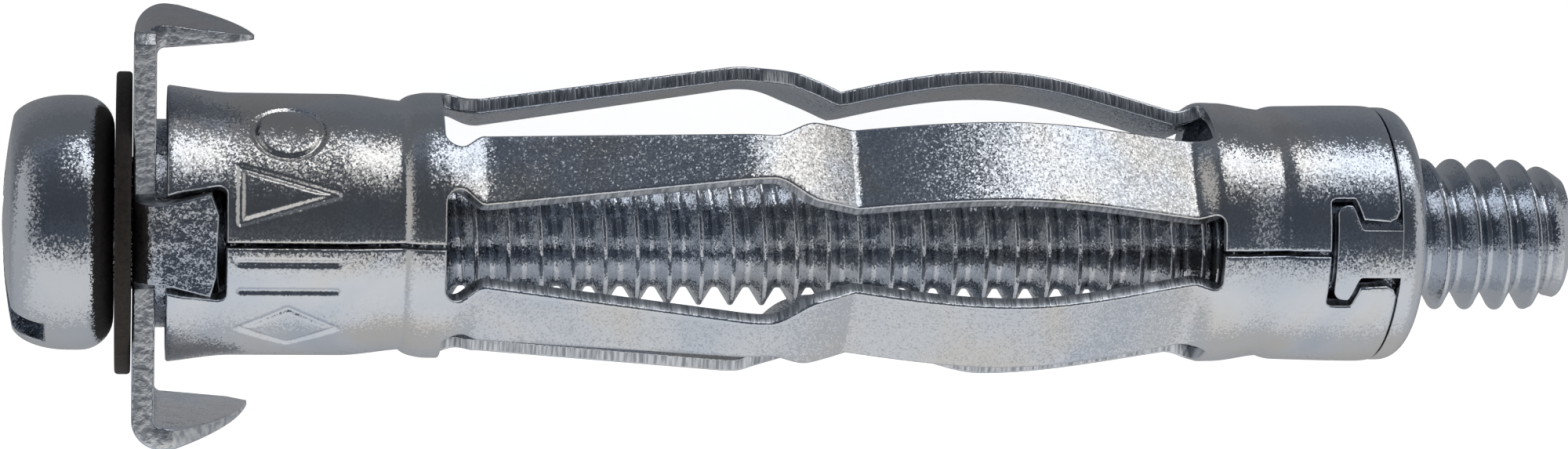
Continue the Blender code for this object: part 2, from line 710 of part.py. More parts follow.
def make_sleeve(material, parent):
    knots = sleeve_knots()
    length = 2 * math.pi * SLEEVE_RADIUS
    low, high = SEAM_GAP / 2, length - SEAM_GAP / 2
    corners = [(SLEEVE_START, low), (SLEEVE_END, low), (SLEEVE_END, high), (SLEEVE_START, high)]
    blank = prism(corners, 0, SHEET)
    stations = []
    for left, right in zip(knots, knots[1:]):
        for i in range(left.steps):
            stations.append(left.at + (right.at - left.at) * i / left.steps)
    cut_lines(blank, 0, stations[1:])
    lines = [length * i / ROUND_SEGMENTS for i in range(1, ROUND_SEGMENTS)]
    cut_lines(blank, 1, lines, lambda spot: not CREASE < spot.x < END_CREASE)
    cutters = []
    for i in range(LEGS + 1):
        cutters.append((window_outline(), i * PITCH_ARC))
    for place in (0.0, length / 2, length):
        cutters.append((notch_outline(), place))
        cutters.append((slot_outline(), place))
    punch = bmesh.new()
    for outline, place in cutters:
        tool = prism([(x, y + place) for x, y in outline], -SHEET, 2 * SHEET)
        mesh = bpy.data.meshes.new("tool")
        tool.to_mesh(mesh)
        tool.free()
        punch.from_mesh(mesh)
        bpy.data.meshes.remove(mesh)
    formed = combine(blank, punch, "DIFFERENCE")
    bmesh.ops.remove_doubles(formed, verts=formed.verts[:], dist=MERGE)
    for vert in formed.verts:
        roll(vert, knots)
    add_piece("sleeve", formed, material, parent)


def make_end_nut(material, parent):
    outer = SLEEVE_RADIUS
    corner = NUT_START + NUT_RIM
    points = [(NUT_START - BOSS_LENGTH, THREAD_RADIUS / 2), (NUT_START - BOSS_LENGTH, BOSS_RADIUS)]
    points += [(NUT_START, BOSS_RADIUS), (NUT_START, outer)]
    points += arc((corner, outer - NUT_ROUND), NUT_ROUND, 90, 20, 4)
    points += [(NUT_END, BORE_RADIUS + BORE_CLEARANCE), (NUT_END, THREAD_RADIUS / 2)]
    nut = turned(points)
    overlap = NUT_RIM / 2
    outline = mirrored(lug_half() + [(NUT_START + overlap, LUG_NECK_WIDTH / 2)])
    for side in (0, 1):
        lug = prism(outline, LUG_SINK, LUG_SHEET)
        cut_lines(lug, 1, [LUG_HEAD_WIDTH * (i / 6 - 0.5) for i in range(1, 6)])
        for vert in lug.verts:
            angle = vert.co.y / SLEEVE_RADIUS + side * math.pi
            out = SLEEVE_RADIUS - vert.co.z
            vert.co = Vector((vert.co.x, -out * math.sin(angle), out * math.cos(angle)))
        nut = combine(nut, lug, "UNION")
    tap = threaded_rod(
        THREAD_RADIUS + THREAD_CLEARANCE,
        THREAD_DEPTH,
        THREAD_CREST + THREAD_CLEARANCE,
        NUT_START - BOSS_LENGTH - THREAD_PITCH,
        NUT_END + THREAD_PITCH,
    )
    add_piece("end_nut", combine(nut, tap, "DIFFERENCE"), material, parent)


def main():
    clear_scene()
    zinc = metal("zinc_plated_steel", (0.62, 0.64, 0.67), 0.32)
    screw_zinc = metal("zinc_plated_screw", (0.58, 0.62, 0.67), 0.26)
    fibre = metal("dark_fibre", (0.035, 0.026, 0.022), 0.6, 0.0)
    place = add_axis("anchor_axis")
    place.location = (-MIDDLE, 0, AXIS_HEIGHT)
    slide = add_axis("washer_slide", place)
    turn = add_axis("screw_turn", slide)
    make_sleeve(zinc, place)
    make_flange(zinc, place)
    make_end_nut(zinc, place)
    make_washer(fibre, slide)
    make_screw(screw_zinc, turn)
    bpy.context.view_layer.update()


main()
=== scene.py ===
"""Looks of a hollow wall anchor: a zinc-plated screw, flange, sleeve and end nut with a dark fibre washer.

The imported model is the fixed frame. Each piece is modelled again in fine detail, drawn from the plane
under the screw's head (x = 0) and from the screw's axis, and carried to the frame's place at the end.
Lengths are in metres and angles in radians, unless a name says otherwise.
"""

from __future__ import annotations

import logging
import math
from dataclasses import dataclass
from enum import Enum

import bmesh
import bpy
from mathutils import Matrix, Vector


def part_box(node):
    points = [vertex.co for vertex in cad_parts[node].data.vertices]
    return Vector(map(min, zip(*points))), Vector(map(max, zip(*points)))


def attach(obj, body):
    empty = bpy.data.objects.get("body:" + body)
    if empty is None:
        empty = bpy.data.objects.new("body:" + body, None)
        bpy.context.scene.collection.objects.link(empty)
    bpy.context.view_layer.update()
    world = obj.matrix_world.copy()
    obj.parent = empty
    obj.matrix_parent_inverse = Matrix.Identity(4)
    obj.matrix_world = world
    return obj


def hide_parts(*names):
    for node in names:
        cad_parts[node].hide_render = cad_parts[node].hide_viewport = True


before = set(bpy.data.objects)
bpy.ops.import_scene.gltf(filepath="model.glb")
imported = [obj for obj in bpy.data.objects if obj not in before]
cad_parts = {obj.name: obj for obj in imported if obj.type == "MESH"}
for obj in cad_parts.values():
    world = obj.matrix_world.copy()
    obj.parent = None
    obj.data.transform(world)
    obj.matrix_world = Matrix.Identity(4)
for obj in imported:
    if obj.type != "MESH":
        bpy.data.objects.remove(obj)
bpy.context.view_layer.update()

# Points nearer than this are the same point: as drawn, and after two solids are combined.
TOUCH = 1e-7
MERGE = 1e-6
# The least curvature across a leg, which stands for flat.
NEARLY_FLAT = 1e-3
# Edges past this angle are cut edges of a turned or combined solid, and those past the next are a
# sheet's rims. A sheet's face is its cut wall where its normal has less than this along Z.
CUT_ANGLE = math.radians(40)
RIM_ANGLE = math.radians(60)
WALL_NORMAL = 0.2
# The sockets of a Mix node that mixes colours.
SHARE, FIRST, SECOND, MIXED = 0, 6, 7, 2

log = logging.getLogger("anchor")

Shape = bmesh.types.BMesh
Vert, Edge = bmesh.types.BMVert, bmesh.types.BMEdge
Tree, Node, Socket = bpy.types.NodeTree, bpy.types.Node, bpy.types.NodeSocket
Material, Item = bpy.types.Material, bpy.types.Object
Point = Pair = tuple[float, float]
Outline = list[Point]


class Solids(Enum):
    """How two closed solids are combined."""

    UNION = "UNION"
    DIFFERENCE = "DIFFERENCE"


class Along(Enum):
    """The direction that a scored line is measured along."""

    X = 0
    Y = 1


class Skin(Enum):
    """Which of a sheet piece's two finishes a face takes."""

    ROLLED = 0
    SHEARED = 1


def linear(code: str) -> tuple[float, float, float, float]:
    """Turn an sRGB hex colour into linear red, green, blue and alpha."""
    parts = [int(code[i : i + 2], 16) / 255 for i in (1, 3, 5)]
    return tuple(c / 12.92 if c <= 0.04045 else ((c + 0.055) / 1.055) ** 2.4 for c in parts) + (1.0,)


def add_node(
    tree: Tree, kind: str, inputs: dict | None = None, out: int | str = 0, **settings: object
) -> Socket | None:
    """Add a node with its settings and links.

    Args:
        tree: Tree that gets the node.
        kind: Blender's name for the node type.
        inputs: Input name or number to its value, or to the output socket that feeds it.
        out: Name or number of the output that is wanted.
        settings: The node's own properties.

    Returns:
        The wanted output, whose node has the others, or None where a node has no outputs.
    """
    node = tree.nodes.new(kind)
    for name, value in settings.items():
        setattr(node, name, value)
    for name, value in (inputs or {}).items():
        if isinstance(value, Socket):
            tree.links.new(value, node.inputs[name])
        else:
            node.inputs[name].default_value = value
    return node.outputs[out] if node.outputs else None


def smooth(share: float) -> float:
    """Ease a share from 0 to 1."""
    share = min(max(share, 0.0), 1.0)
    return share * share * (3 - 2 * share)


def arc(centre: Point, radius: float, start: float, end: float, steps: int = 10) -> Outline:
    """List points along an arc.

    Args:
        centre: Its centre.
        radius: Its radius.
        start: Where it begins, in degrees.
        end: Where it ends, in degrees.
        steps: How many straight runs it has.

    Returns:
        The points, with both ends.
    """
    points = []
    for i in range(steps + 1):
        angle = math.radians(start + (end - start) * i / steps)
        points.append((centre[0] + radius * math.cos(angle), centre[1] + radius * math.sin(angle)))
    return points


def blend_points(first: Point, last: Point, steps: int) -> Outline:
    """List the inner points of an S-curve.

    Args:
        first: Where it leaves, along the first axis.
        last: Where it arrives, along the first axis.
        steps: How many straight runs it has.

    Returns:
        The points between the two ends.
    """
    points = []
    for i in range(1, steps):
        share = i / steps
        along, across = last[0] - first[0], last[1] - first[1]
        points.append((first[0] + along * share, first[1] + across * smooth(share)))
    return points


def mirrored(half: Outline) -> Outline:
    """Close a half outline, drawn on the positive side, with its mirror image."""
    return half + [(x, -y) for x, y in reversed(half)]


def distance(spot: Vector, first: Point, last: Point) -> float:
    """Measure how far a point of a flat sheet lies from a straight stroke.

    Args:
        spot: The point.
        first: The stroke's start.
        last: The stroke's end.

    Returns:
        The distance across the sheet.
    """
    run = (last[0] - first[0], last[1] - first[1])
    reach = run[0] ** 2 + run[1] ** 2
    share = ((spot.x - first[0]) * run[0] + (spot.y - first[1]) * run[1]) / reach
    share = min(max(share, 0.0), 1.0)
    return math.hypot(spot.x - first[0] - share * run[0], spot.y - first[1] - share * run[1])


def of_kind(items: list, kind: type) -> list:
    """Keep what is of one kind, such as the points among points, edges and faces."""
    return [item for item in items if isinstance(item, kind)]


def everything(bm: Shape) -> list:
    """List a shape's points, edges and faces."""
    return bm.verts[:] + bm.edges[:] + bm.faces[:]


def put_in_scene(bm: Shape, name: str) -> Item:
    """Make an object of a shape.

    Args:
        bm: The shape. It is used up.
        name: Name of the object and its mesh.

    Returns:
        The object, in the scene's collection.
    """
    mesh = bpy.data.meshes.new(name)
    bm.to_mesh(mesh)
    bm.free()
    item = bpy.data.objects.new(name, mesh)
    bpy.context.scene.collection.objects.link(item)
    return item


def turned(profile: Outline, segments: int) -> Shape:
    """Turn a closed outline about the X axis.

    Args:
        profile: The outline as (x, radius), in order.
        segments: Facets round the axis.

    Returns:
        The closed solid.
    """
    bm = bmesh.new()
    ring = [bm.verts.new((x, 0.0, radius)) for x, radius in profile]
    edges = [bm.edges.new((ring[i - 1], ring[i])) for i in range(len(ring))]
    bmesh.ops.spin(
        bm, geom=ring + edges, cent=(0, 0, 0), axis=(1, 0, 0), angle=2 * math.pi, steps=segments,
        use_merge=True,
    )
    bmesh.ops.remove_doubles(bm, verts=bm.verts[:], dist=TOUCH)
    bmesh.ops.recalc_face_normals(bm, faces=bm.faces[:])
    return bm


def extruded(corners: list, lift: tuple[float, float, float]) -> tuple[Shape, list[Vert]]:
    """Raise a flat face into a solid.

    Args:
        corners: The face's points, in order.
        lift: How far the face is raised.

    Returns:
        The solid, and its raised points.
    """
    bm = bmesh.new()
    face = bm.faces.new([bm.verts.new(corner) for corner in corners])
    raised = of_kind(bmesh.ops.extrude_face_region(bm, geom=[face])["geom"], Vert)
    bmesh.ops.translate(bm, verts=raised, vec=lift)
    return bm, raised


def prism(outline: Outline, low: float, high: float) -> Shape:
    """Extrude a flat outline across Z.

    Args:
        outline: The outline as (x, y), in order.
        low: Where the solid begins.
        high: Where it ends.

    Returns:
        The closed solid.
    """
    bm, _ = extruded([(x, y, low) for x, y in outline], (0, 0, high - low))
    bmesh.ops.recalc_face_normals(bm, faces=bm.faces[:])
    return bm


def combine(bm: Shape, other: Shape, kind: Solids) -> Shape:
    """Unite or cut two closed solids.

    Args:
        bm: The solid that is changed. It is used up.
        other: The solid that is added or taken away. It is used up.
        kind: What is done with them.

    Returns:
        The combined solid.
    """
    for part in (bm, other):
        bmesh.ops.recalc_face_normals(part, faces=part.faces[:])
    target, tool = put_in_scene(bm, "shape"), put_in_scene(other, "shape")
    modifier = target.modifiers.new("combine", "BOOLEAN")
    modifier.operation = kind.value
    modifier.object = tool
    modifier.solver = "EXACT"
    bpy.context.view_layer.update()
    result = bmesh.new()
    result.from_mesh(target.evaluated_get(bpy.context.evaluated_depsgraph_get()).to_mesh())
    for item in (target, tool):
        mesh = item.data
        bpy.data.objects.remove(item, do_unlink=True)
        bpy.data.meshes.remove(mesh)
    bmesh.ops.remove_doubles(result, verts=result.verts[:], dist=MERGE)
    return result


def gather(parts: list[Shape]) -> Shape:
    """Put several shapes into one.

    Args:
        parts: The shapes. They are used up.

    Returns:
        The one shape.
    """
    whole = bmesh.new()
    for part in parts:
        mesh = bpy.data.meshes.new("part")
        part.to_mesh(mesh)
        part.free()
        whole.from_mesh(mesh)
        bpy.data.meshes.remove(mesh)
    return whole


def score(bm: Shape, along: Along, places: list[float]) -> None:
    """Score a flat sheet with straight lines so that it can be bent there.

    Args:
        bm: The flat sheet.
        along: The direction that the places are measured along.
        places: Where the lines cross.
    """
    normal = Vector((0, 0, 0))
    normal[along.value] = 1.0
    geometry = everything(bm)
    for place in places:
        cut = bmesh.ops.bisect_plane(
            bm, geom=geometry, dist=TOUCH, plane_co=normal * place, plane_no=normal
        )
        geometry = cut["geom"]


def round_edges(bm: Shape, edges: list[Edge], width: float, segments: int) -> None:
    """Round edges of a solid.

    Args:
        bm: The solid.
        edges: Its edges that are rounded.
        width: How far the rounding reaches.
        segments: Facets across the rounding.
    """
    bmesh.ops.bevel(
        bm, geom=edges, offset=width, offset_type="OFFSET", affect="EDGES", segments=segments,
        profile=0.5, material=-1, clamp_overlap=False,
    )


def soften_rims(bm: Shape, width: float) -> None:
    """Round a flat sheet's rims, where its two faces meet its cut walls, and tell the walls apart.

    Args:
        bm: The flat sheet, lying across Z.
        width: How far the rounding reaches.
    """
    bmesh.ops.dissolve_degenerate(bm, dist=MERGE, edges=bm.edges[:])
    bm.normal_update()
    rims = []
    for edge in bm.edges:
        level = abs(edge.verts[0].co.z - edge.verts[1].co.z) < MERGE
        if level and len(edge.link_faces) == 2 and edge.calc_face_angle(0.0) > RIM_ANGLE:
            rims.append(edge)
    round_edges(bm, rims, width, segments=3)
    bm.normal_update()
    for face in bm.faces:
        wall = abs(face.normal.z) < WALL_NORMAL
        face.material_index = (Skin.SHEARED if wall else Skin.ROLLED).value


@dataclass(frozen=True)
class Thread:
    """A unified coarse thread: its pitch, size and rounded form.

    The crest passes the +Z side at every whole pitch, so a rod and its nut mesh by themselves. The
    crest's form is given in shares of its width and half width, and the root's in shares of the latter.
    """

    pitch: float = 0.00127
    radius: float = 0.0031
    depth: float = 0.00072
    crest: float = 0.00018
    flank_angle: float = math.radians(30)
    crest_form: tuple[Pair, ...] = ((0.30, 0.06), (0.52, 0.38), (0.66, 0.95))
    root_form: tuple[Pair, ...] = ((-0.55, 1.15), (-0.10, 0.50), (0.45, 0.12))
    root_flat: float = 0.60
    segments: int = 64

    def profile(self) -> Outline:
        """Draw one pitch of the thread.

        Returns:
            Its outline as (x, radius), from root to root.
        """
        soft = self.crest / 2
        root = self.radius - self.depth
        foot = soft + self.depth * math.tan(self.flank_angle)
        half = [(0.0, self.radius)]
        half += [(self.crest * along, self.radius - soft * down) for along, down in self.crest_form]
        half += [(foot + soft * along, root + soft * up) for along, up in self.root_form]
        half += [(foot + (self.pitch / 2 - foot) * self.root_flat, root)]
        left = [(-x, radius) for x, radius in reversed(half)]
        return left + half[1:] + [(self.pitch - half[-1][0], root)]

    def rod(self, start: float, end: float, grow: float = 0.0) -> Shape:
        """Sweep a solid right-handed thread along X, cut square at both ends.

        Args:
            start: Where it begins.
            end: Where it ends.
            grow: Clearance added to its radius.

        Returns:
            The closed solid.
        """
        first = (math.floor(start / self.pitch) - 1) * self.pitch
        turns = math.ceil((end - first) / self.pitch) + 1
        bm = bmesh.new()
        row = [bm.verts.new((first + x, 0.0, radius + grow)) for x, radius in self.profile()]
        edges = [bm.edges.new((row[i], row[i + 1])) for i in range(len(row) - 1)]
        bmesh.ops.spin(
            bm, geom=row + edges, cent=(0, 0, 0), axis=(1, 0, 0), dvec=(self.pitch / self.segments, 0, 0),
            angle=2 * math.pi, steps=self.segments, use_merge=False,
        )
        one_turn = everything(bm)
        for i in range(1, turns):
            copied = of_kind(bmesh.ops.duplicate(bm, geom=one_turn)["geom"], Vert)
            bmesh.ops.translate(bm, verts=copied, vec=(i * self.pitch, 0, 0))
        bmesh.ops.remove_doubles(bm, verts=bm.verts[:], dist=TOUCH)
        for place, outward in ((start, -1), (end, 1)):
            cut = bmesh.ops.bisect_plane(
                bm, geom=everything(bm), dist=TOUCH, plane_co=(place, 0, 0), plane_no=(outward, 0, 0),
                clear_outer=True,
            )
            bmesh.ops.edgeloop_fill(bm, edges=of_kind(cut["geom_cut"], Edge))
        bmesh.ops.recalc_face_normals(bm, faces=bm.faces[:])
        return bm


@dataclass
class Stack:
    """Where the pieces lie along the axis, from the plane under the head, and the sizes that they share."""

    seat_gap: float = 0.00005
    washer_thickness: float = 0.00062
    flange_thickness: float = 0.00088
    sleeve_gap: float = 0.00042
    collar_length: float = 0.0107
    window_length: float = 0.03076
    end_collar_length: float = 0.00722
    sleeve_radius: float = 0.00517
    flare_rise: float = 0.00028
    tab_neck_width: float = 0.0031
    tab_end_width: float = 0.0040
    tab_reach: float = 0.0024
    lug_head_width: float = 0.0040
    lug_neck_width: float = 0.0020
    lug_reach: float = 0.00265
    lug_head_length: float = 0.0006
    lug_foot_length: float = 0.0005

    def __post_init__(self) -> None:
        """Add up the planes between the pieces: the wall face is the flange's, towards the sleeve."""
        self.flange_face = 2 * self.seat_gap + self.washer_thickness
        self.wall_face = self.flange_face + self.flange_thickness
        self.sleeve_start = self.wall_face + self.sleeve_gap
        self.window_start = self.sleeve_start + self.collar_length
        self.window_end = self.window_start + self.window_length
        self.sleeve_end = self.window_end + self.end_collar_length
        self.nut_start = self.sleeve_end + self.seat_gap


@dataclass(frozen=True)
class Finish:
    """What every finish has: a name, and nodes on Object coordinates."""

    name: str

    def dress(self, tree: Tree, place: Socket, shader: Node) -> None:
        """Set the finish's own nodes.

        Args:
            tree: The material's tree.
            place: The Object coordinates.
            shader: The material's shader.
        """
        raise NotImplementedError

    def material(self) -> Material:
        """Build the finish.

        Returns:
            The material.
        """
        material = bpy.data.materials.new(self.name)
        material.use_nodes = True
        tree = material.node_tree
        self.dress(tree, add_node(tree, "ShaderNodeTexCoord", out="Object"), tree.nodes["Principled BSDF"])
        return material


@dataclass(frozen=True)
class ZincPlate(Finish):
    """Bright zinc electroplate over steel: a cool silver made of tiny crystals that each catch the light.

    Thin chromate over the zinc drifts from blue to straw, which shows as slow changes of tint. The real
    crystals are a few micrometres across, and these are drawn far coarser so that they show.
    """

    silver: str = "#DFE3E9"
    blue: str = "#CDD6E3"
    straw: str = "#E2DCD2"
    roughness: float = 0.16
    roughness_spread: float = 0.10
    gloss_range: Pair = (0.3, 0.7)
    crystal_size: float = 0.00006
    crystal_tilt: float = 0.21
    grain_size: float = 0.00014
    grain_depth: float = 0.0000045
    dent_size: float = 0.0009
    dent_depth: float = 0.000008
    tint_size: float = 0.006
    tint_range: Pair = (0.38, 0.62)
    tint: float = 0.6

    def colour(self, tree: Tree, place: Socket) -> Socket:
        """Mix the silver with slow drifts of blue and straw.

        Args:
            tree: The material's tree.
            place: The Object coordinates.

        Returns:
            The colour.
        """
        scale = {"Vector": place, "Scale": 1 / self.tint_size, "Detail": 3.0, "Distortion": 0.6}
        clouds = add_node(tree, "ShaderNodeTexNoise", scale)
        low, high = self.tint_range
        spread = {"Value": clouds, "From Min": low, "From Max": high, "To Min": -1.0, "To Max": 1.0}
        drift = add_node(tree, "ShaderNodeMapRange", spread)
        colour = linear(self.silver)
        for code, amount in ((self.blue, self.tint), (self.straw, -self.tint)):
            share = add_node(
                tree, "ShaderNodeMath", {0: drift, 1: amount}, operation="MULTIPLY", use_clamp=True
            )
            colours = {SHARE: share, FIRST: colour, SECOND: linear(code)}
            colour = add_node(tree, "ShaderNodeMix", colours, MIXED, data_type="RGBA")
        return colour

    def relief(self, tree: Tree, place: Socket) -> Socket:
        """Tilt the surface: broad dents, a coarse grain, and one small random tilt for each crystal.

        Args:
            tree: The material's tree.
            place: The Object coordinates.

        Returns:
            The normal.
        """
        normal = None
        for size, depth, detail in (
            (self.dent_size, self.dent_depth, 4.0),
            (self.grain_size, self.grain_depth, 2.0),
        ):
            scale = {"Vector": place, "Scale": 1 / size, "Detail": detail}
            inputs = {"Height": add_node(tree, "ShaderNodeTexNoise", scale), "Distance": depth}
            if normal is not None:
                inputs["Normal"] = normal
            normal = add_node(tree, "ShaderNodeBump", inputs)
        scale = {"Vector": place, "Scale": 1 / self.crystal_size}
        tilt = add_node(tree, "ShaderNodeTexVoronoi", scale, "Color")
        for inputs, operation in (
            ({1: (0.5, 0.5, 0.5)}, "SUBTRACT"),
            ({"Scale": self.crystal_tilt}, "SCALE"),
            ({1: normal}, "ADD"),
            ({}, "NORMALIZE"),
        ):
            tilt = add_node(tree, "ShaderNodeVectorMath", {0: tilt} | inputs, operation=operation)
        return tilt

    def dress(self, tree: Tree, place: Socket, shader: Node) -> None:
        """Feed the shader its colour, relief and a gloss that changes slowly.

        Args:
            tree: The material's tree.
            place: The Object coordinates.
            shader: The material's shader.
        """
        shader.inputs["Metallic"].default_value = 1.0
        scale = {"Vector": place, "Scale": 1 / self.dent_size, "Detail": 6.0}
        low, high = self.gloss_range
        spread = {
            "Value": add_node(tree, "ShaderNodeTexNoise", scale),
            "From Min": low,
            "From Max": high,
            "To Min": self.roughness - self.roughness_spread / 2,
            "To Max": self.roughness + self.roughness_spread / 2,
        }
        tree.links.new(self.colour(tree, place), shader.inputs["Base Color"])
        tree.links.new(add_node(tree, "ShaderNodeMapRange", spread), shader.inputs["Roughness"])
        tree.links.new(self.relief(tree, place), shader.inputs["Normal"])


@dataclass(frozen=True)
class ShearedEdge(ZincPlate):
    """Punched edge of the plated sheet, with score marks that run through its thickness, whose grooves are
    darkened with painted shade.

    How often the marks repeat along X, Y and Z is given as shares of one spacing.
    """

    name: str = "sheared_zinc_edge"
    silver: str = "#E0E3E8"
    painted_groove_shade: str = "#989EA5"
    roughness: float = 0.30
    mark_spacing: float = 0.00012
    mark_depth: float = 0.000015
    mark_range: Pair = (0.36, 0.62)
    repeats: tuple[float, float, float] = (1.0, 0.08, 0.08)

    def colour(self, tree: Tree, place: Socket) -> Socket:
        """Streak the edge with painted shade in its marks' grooves, and give the colour."""
        # Painted shade: the marks' low parts, their grooves, take the darker colour.
        colours = {SHARE: self.marks(tree, place), FIRST: linear(self.painted_groove_shade), SECOND: linear(self.silver)}
        return add_node(tree, "ShaderNodeMix", colours, MIXED, data_type="RGBA")

    def relief(self, tree: Tree, place: Socket) -> Socket:
        """Score the edge along the same marks, and give the normal."""
        inputs = {"Height": self.marks(tree, place), "Distance": self.mark_depth}
        return add_node(tree, "ShaderNodeBump", inputs)

    def marks(self, tree: Tree, place: Socket) -> Socket:
        """Stretch a noise into marks.

        Args:
            tree: The material's tree.
            place: The Object coordinates.

        Returns:
            The marks' height, from 0 to 1.
        """
        scale = tuple(share / self.mark_spacing for share in self.repeats)
        laid = add_node(tree, "ShaderNodeMapping", {"Vector": place, "Scale": scale})
        marks = add_node(tree, "ShaderNodeTexNoise", {"Vector": laid, "Scale": 1.0, "Detail": 3.0})
        low, high = self.mark_range
        return add_node(tree, "ShaderNodeMapRange", {"Value": marks, "From Min": low, "From Max": high})


@dataclass(frozen=True)
class PressedFibre(Finish):
    """Dark pressed fibre: matte brown-black, mottled, with a fuzzy fibrous grain."""

    name: str = "pressed_fibre"
    dark: str = "#231C18"
    brown: str = "#3C3129"
    roughness: float = 0.62
    fibre_size: float = 0.00018
    fibre_depth: float = 0.00002
    mottle_range: Pair = (0.35, 0.7)

    def dress(self, tree: Tree, place: Socket, shader: Node) -> None:
        """Feed the shader its mottled colour and its grain.

        Args:
            tree: The material's tree.
            place: The Object coordinates.
            shader: The material's shader.
        """
        shader.inputs["Roughness"].default_value = self.roughness
        scale = {"Vector": place, "Scale": 1 / self.fibre_size, "Detail": 5.0, "Roughness": 0.65}
        fibre = add_node(tree, "ShaderNodeTexNoise", scale)
        low, high = self.mottle_range
        mottle = add_node(tree, "ShaderNodeMapRange", {"Value": fibre, "From Min": low, "From Max": high})
        colours = {SHARE: mottle, FIRST: linear(self.dark), SECOND: linear(self.brown)}
        colour = add_node(tree, "ShaderNodeMix", colours, MIXED, data_type="RGBA")
        bump = add_node(tree, "ShaderNodeBump", {"Height": fibre, "Distance": self.fibre_depth})
        tree.links.new(colour, shader.inputs["Base Color"])
        tree.links.new(bump, shader.inputs["Normal"])


@dataclass(frozen=True)
class FloorPaper(Finish):
    """Matte white paper, pure white as it is seen.

    Where the metal mirrors it, it takes a greyer colour, which is painted shade, and it glows with painted
    light towards its front, at -Y, as if lit from that side.
    """

    name: str = "floor_paper"
    colour: str = "#F4F4F4"
    mirrored_painted_shade: str = "#A6A9AE"
    glow: float = 0.85
    painted_light_front: float = 0.34
    painted_light_back: float = 0.0
    painted_light_reach: float = 0.02

    def dress(self, tree: Tree, place: Socket, shader: Node) -> None:
        """Paint shade and light into the paper where the metal mirrors it.

        Args:
            tree: The material's tree.
            place: The Object coordinates.
            shader: The material's shader.
        """
        shader.inputs["Roughness"].default_value = 1.0
        shader.inputs["Specular IOR Level"].default_value = 0.0
        shader.inputs["Emission Color"].default_value = (1, 1, 1, 1)
        rays = add_node(tree, "ShaderNodeLightPath").node.outputs
        seen, mirrored_ray = rays["Is Camera Ray"], rays["Is Glossy Ray"]
        # Painted shade: glossy rays see the paper in a greyer colour.
        colours = {SHARE: mirrored_ray, FIRST: linear(self.colour), SECOND: linear(self.mirrored_painted_shade)}
        paper = add_node(tree, "ShaderNodeMix", colours, MIXED, data_type="RGBA")
        # Painted light: glossy rays see the paper glow, brightest towards its front at -Y.
        spread = {
            "Value": add_node(tree, "ShaderNodeSeparateXYZ", {"Vector": place}, "Y"),
            "From Min": -self.painted_light_reach,
            "From Max": self.painted_light_reach,
            "To Min": self.painted_light_front,
            "To Max": self.painted_light_back,
        }
        glow = add_node(tree, "ShaderNodeMath", {0: seen, 1: self.glow}, operation="MULTIPLY")
        painted_light = add_node(tree, "ShaderNodeMapRange", spread)
        sums = {0: painted_light, 1: mirrored_ray, 2: glow}
        lit_with_painted_light = add_node(tree, "ShaderNodeMath", sums, operation="MULTIPLY_ADD")
        tree.links.new(paper, shader.inputs["Base Color"])
        tree.links.new(lit_with_painted_light, shader.inputs["Emission Strength"])


@dataclass
class Piece:
    """What every piece of the anchor has: its node, its body and the stack that it sits in."""

    stack: Stack
    origin: Vector
    node: str = ""
    body: str = "anchor"

    def settle(self, bm: Shape, finishes: list[Material], sharp: float = math.radians(50)) -> Item:
        """Carry a finished shape to its place, dress it and let it stand for its node.

        Args:
            bm: The shape, drawn from the plane under the head. It is used up.
            finishes: Its materials, by the faces' material numbers.
            sharp: Edges past this angle stay crisp.

        Returns:
            The piece, riding on its body.
        """
        bmesh.ops.remove_doubles(bm, verts=bm.verts[:], dist=TOUCH * 5)
        bmesh.ops.translate(bm, verts=bm.verts[:], vec=self.origin)
        bmesh.ops.recalc_face_normals(bm, faces=bm.faces[:])
        piece = put_in_scene(bm, self.node + "_fine")
        piece.data.shade_smooth()
        piece.data.set_sharp_from_angle(angle=sharp)
        for finish in finishes:
            piece.data.materials.append(finish)
        piece.modifiers.new("weigh_normals", "WEIGHTED_NORMAL").keep_sharp = True
        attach(piece, self.body)
        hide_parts(self.node)
        log.info("%s: %d faces on body %s", piece.name, len(piece.data.polygons), self.body)
        return piece


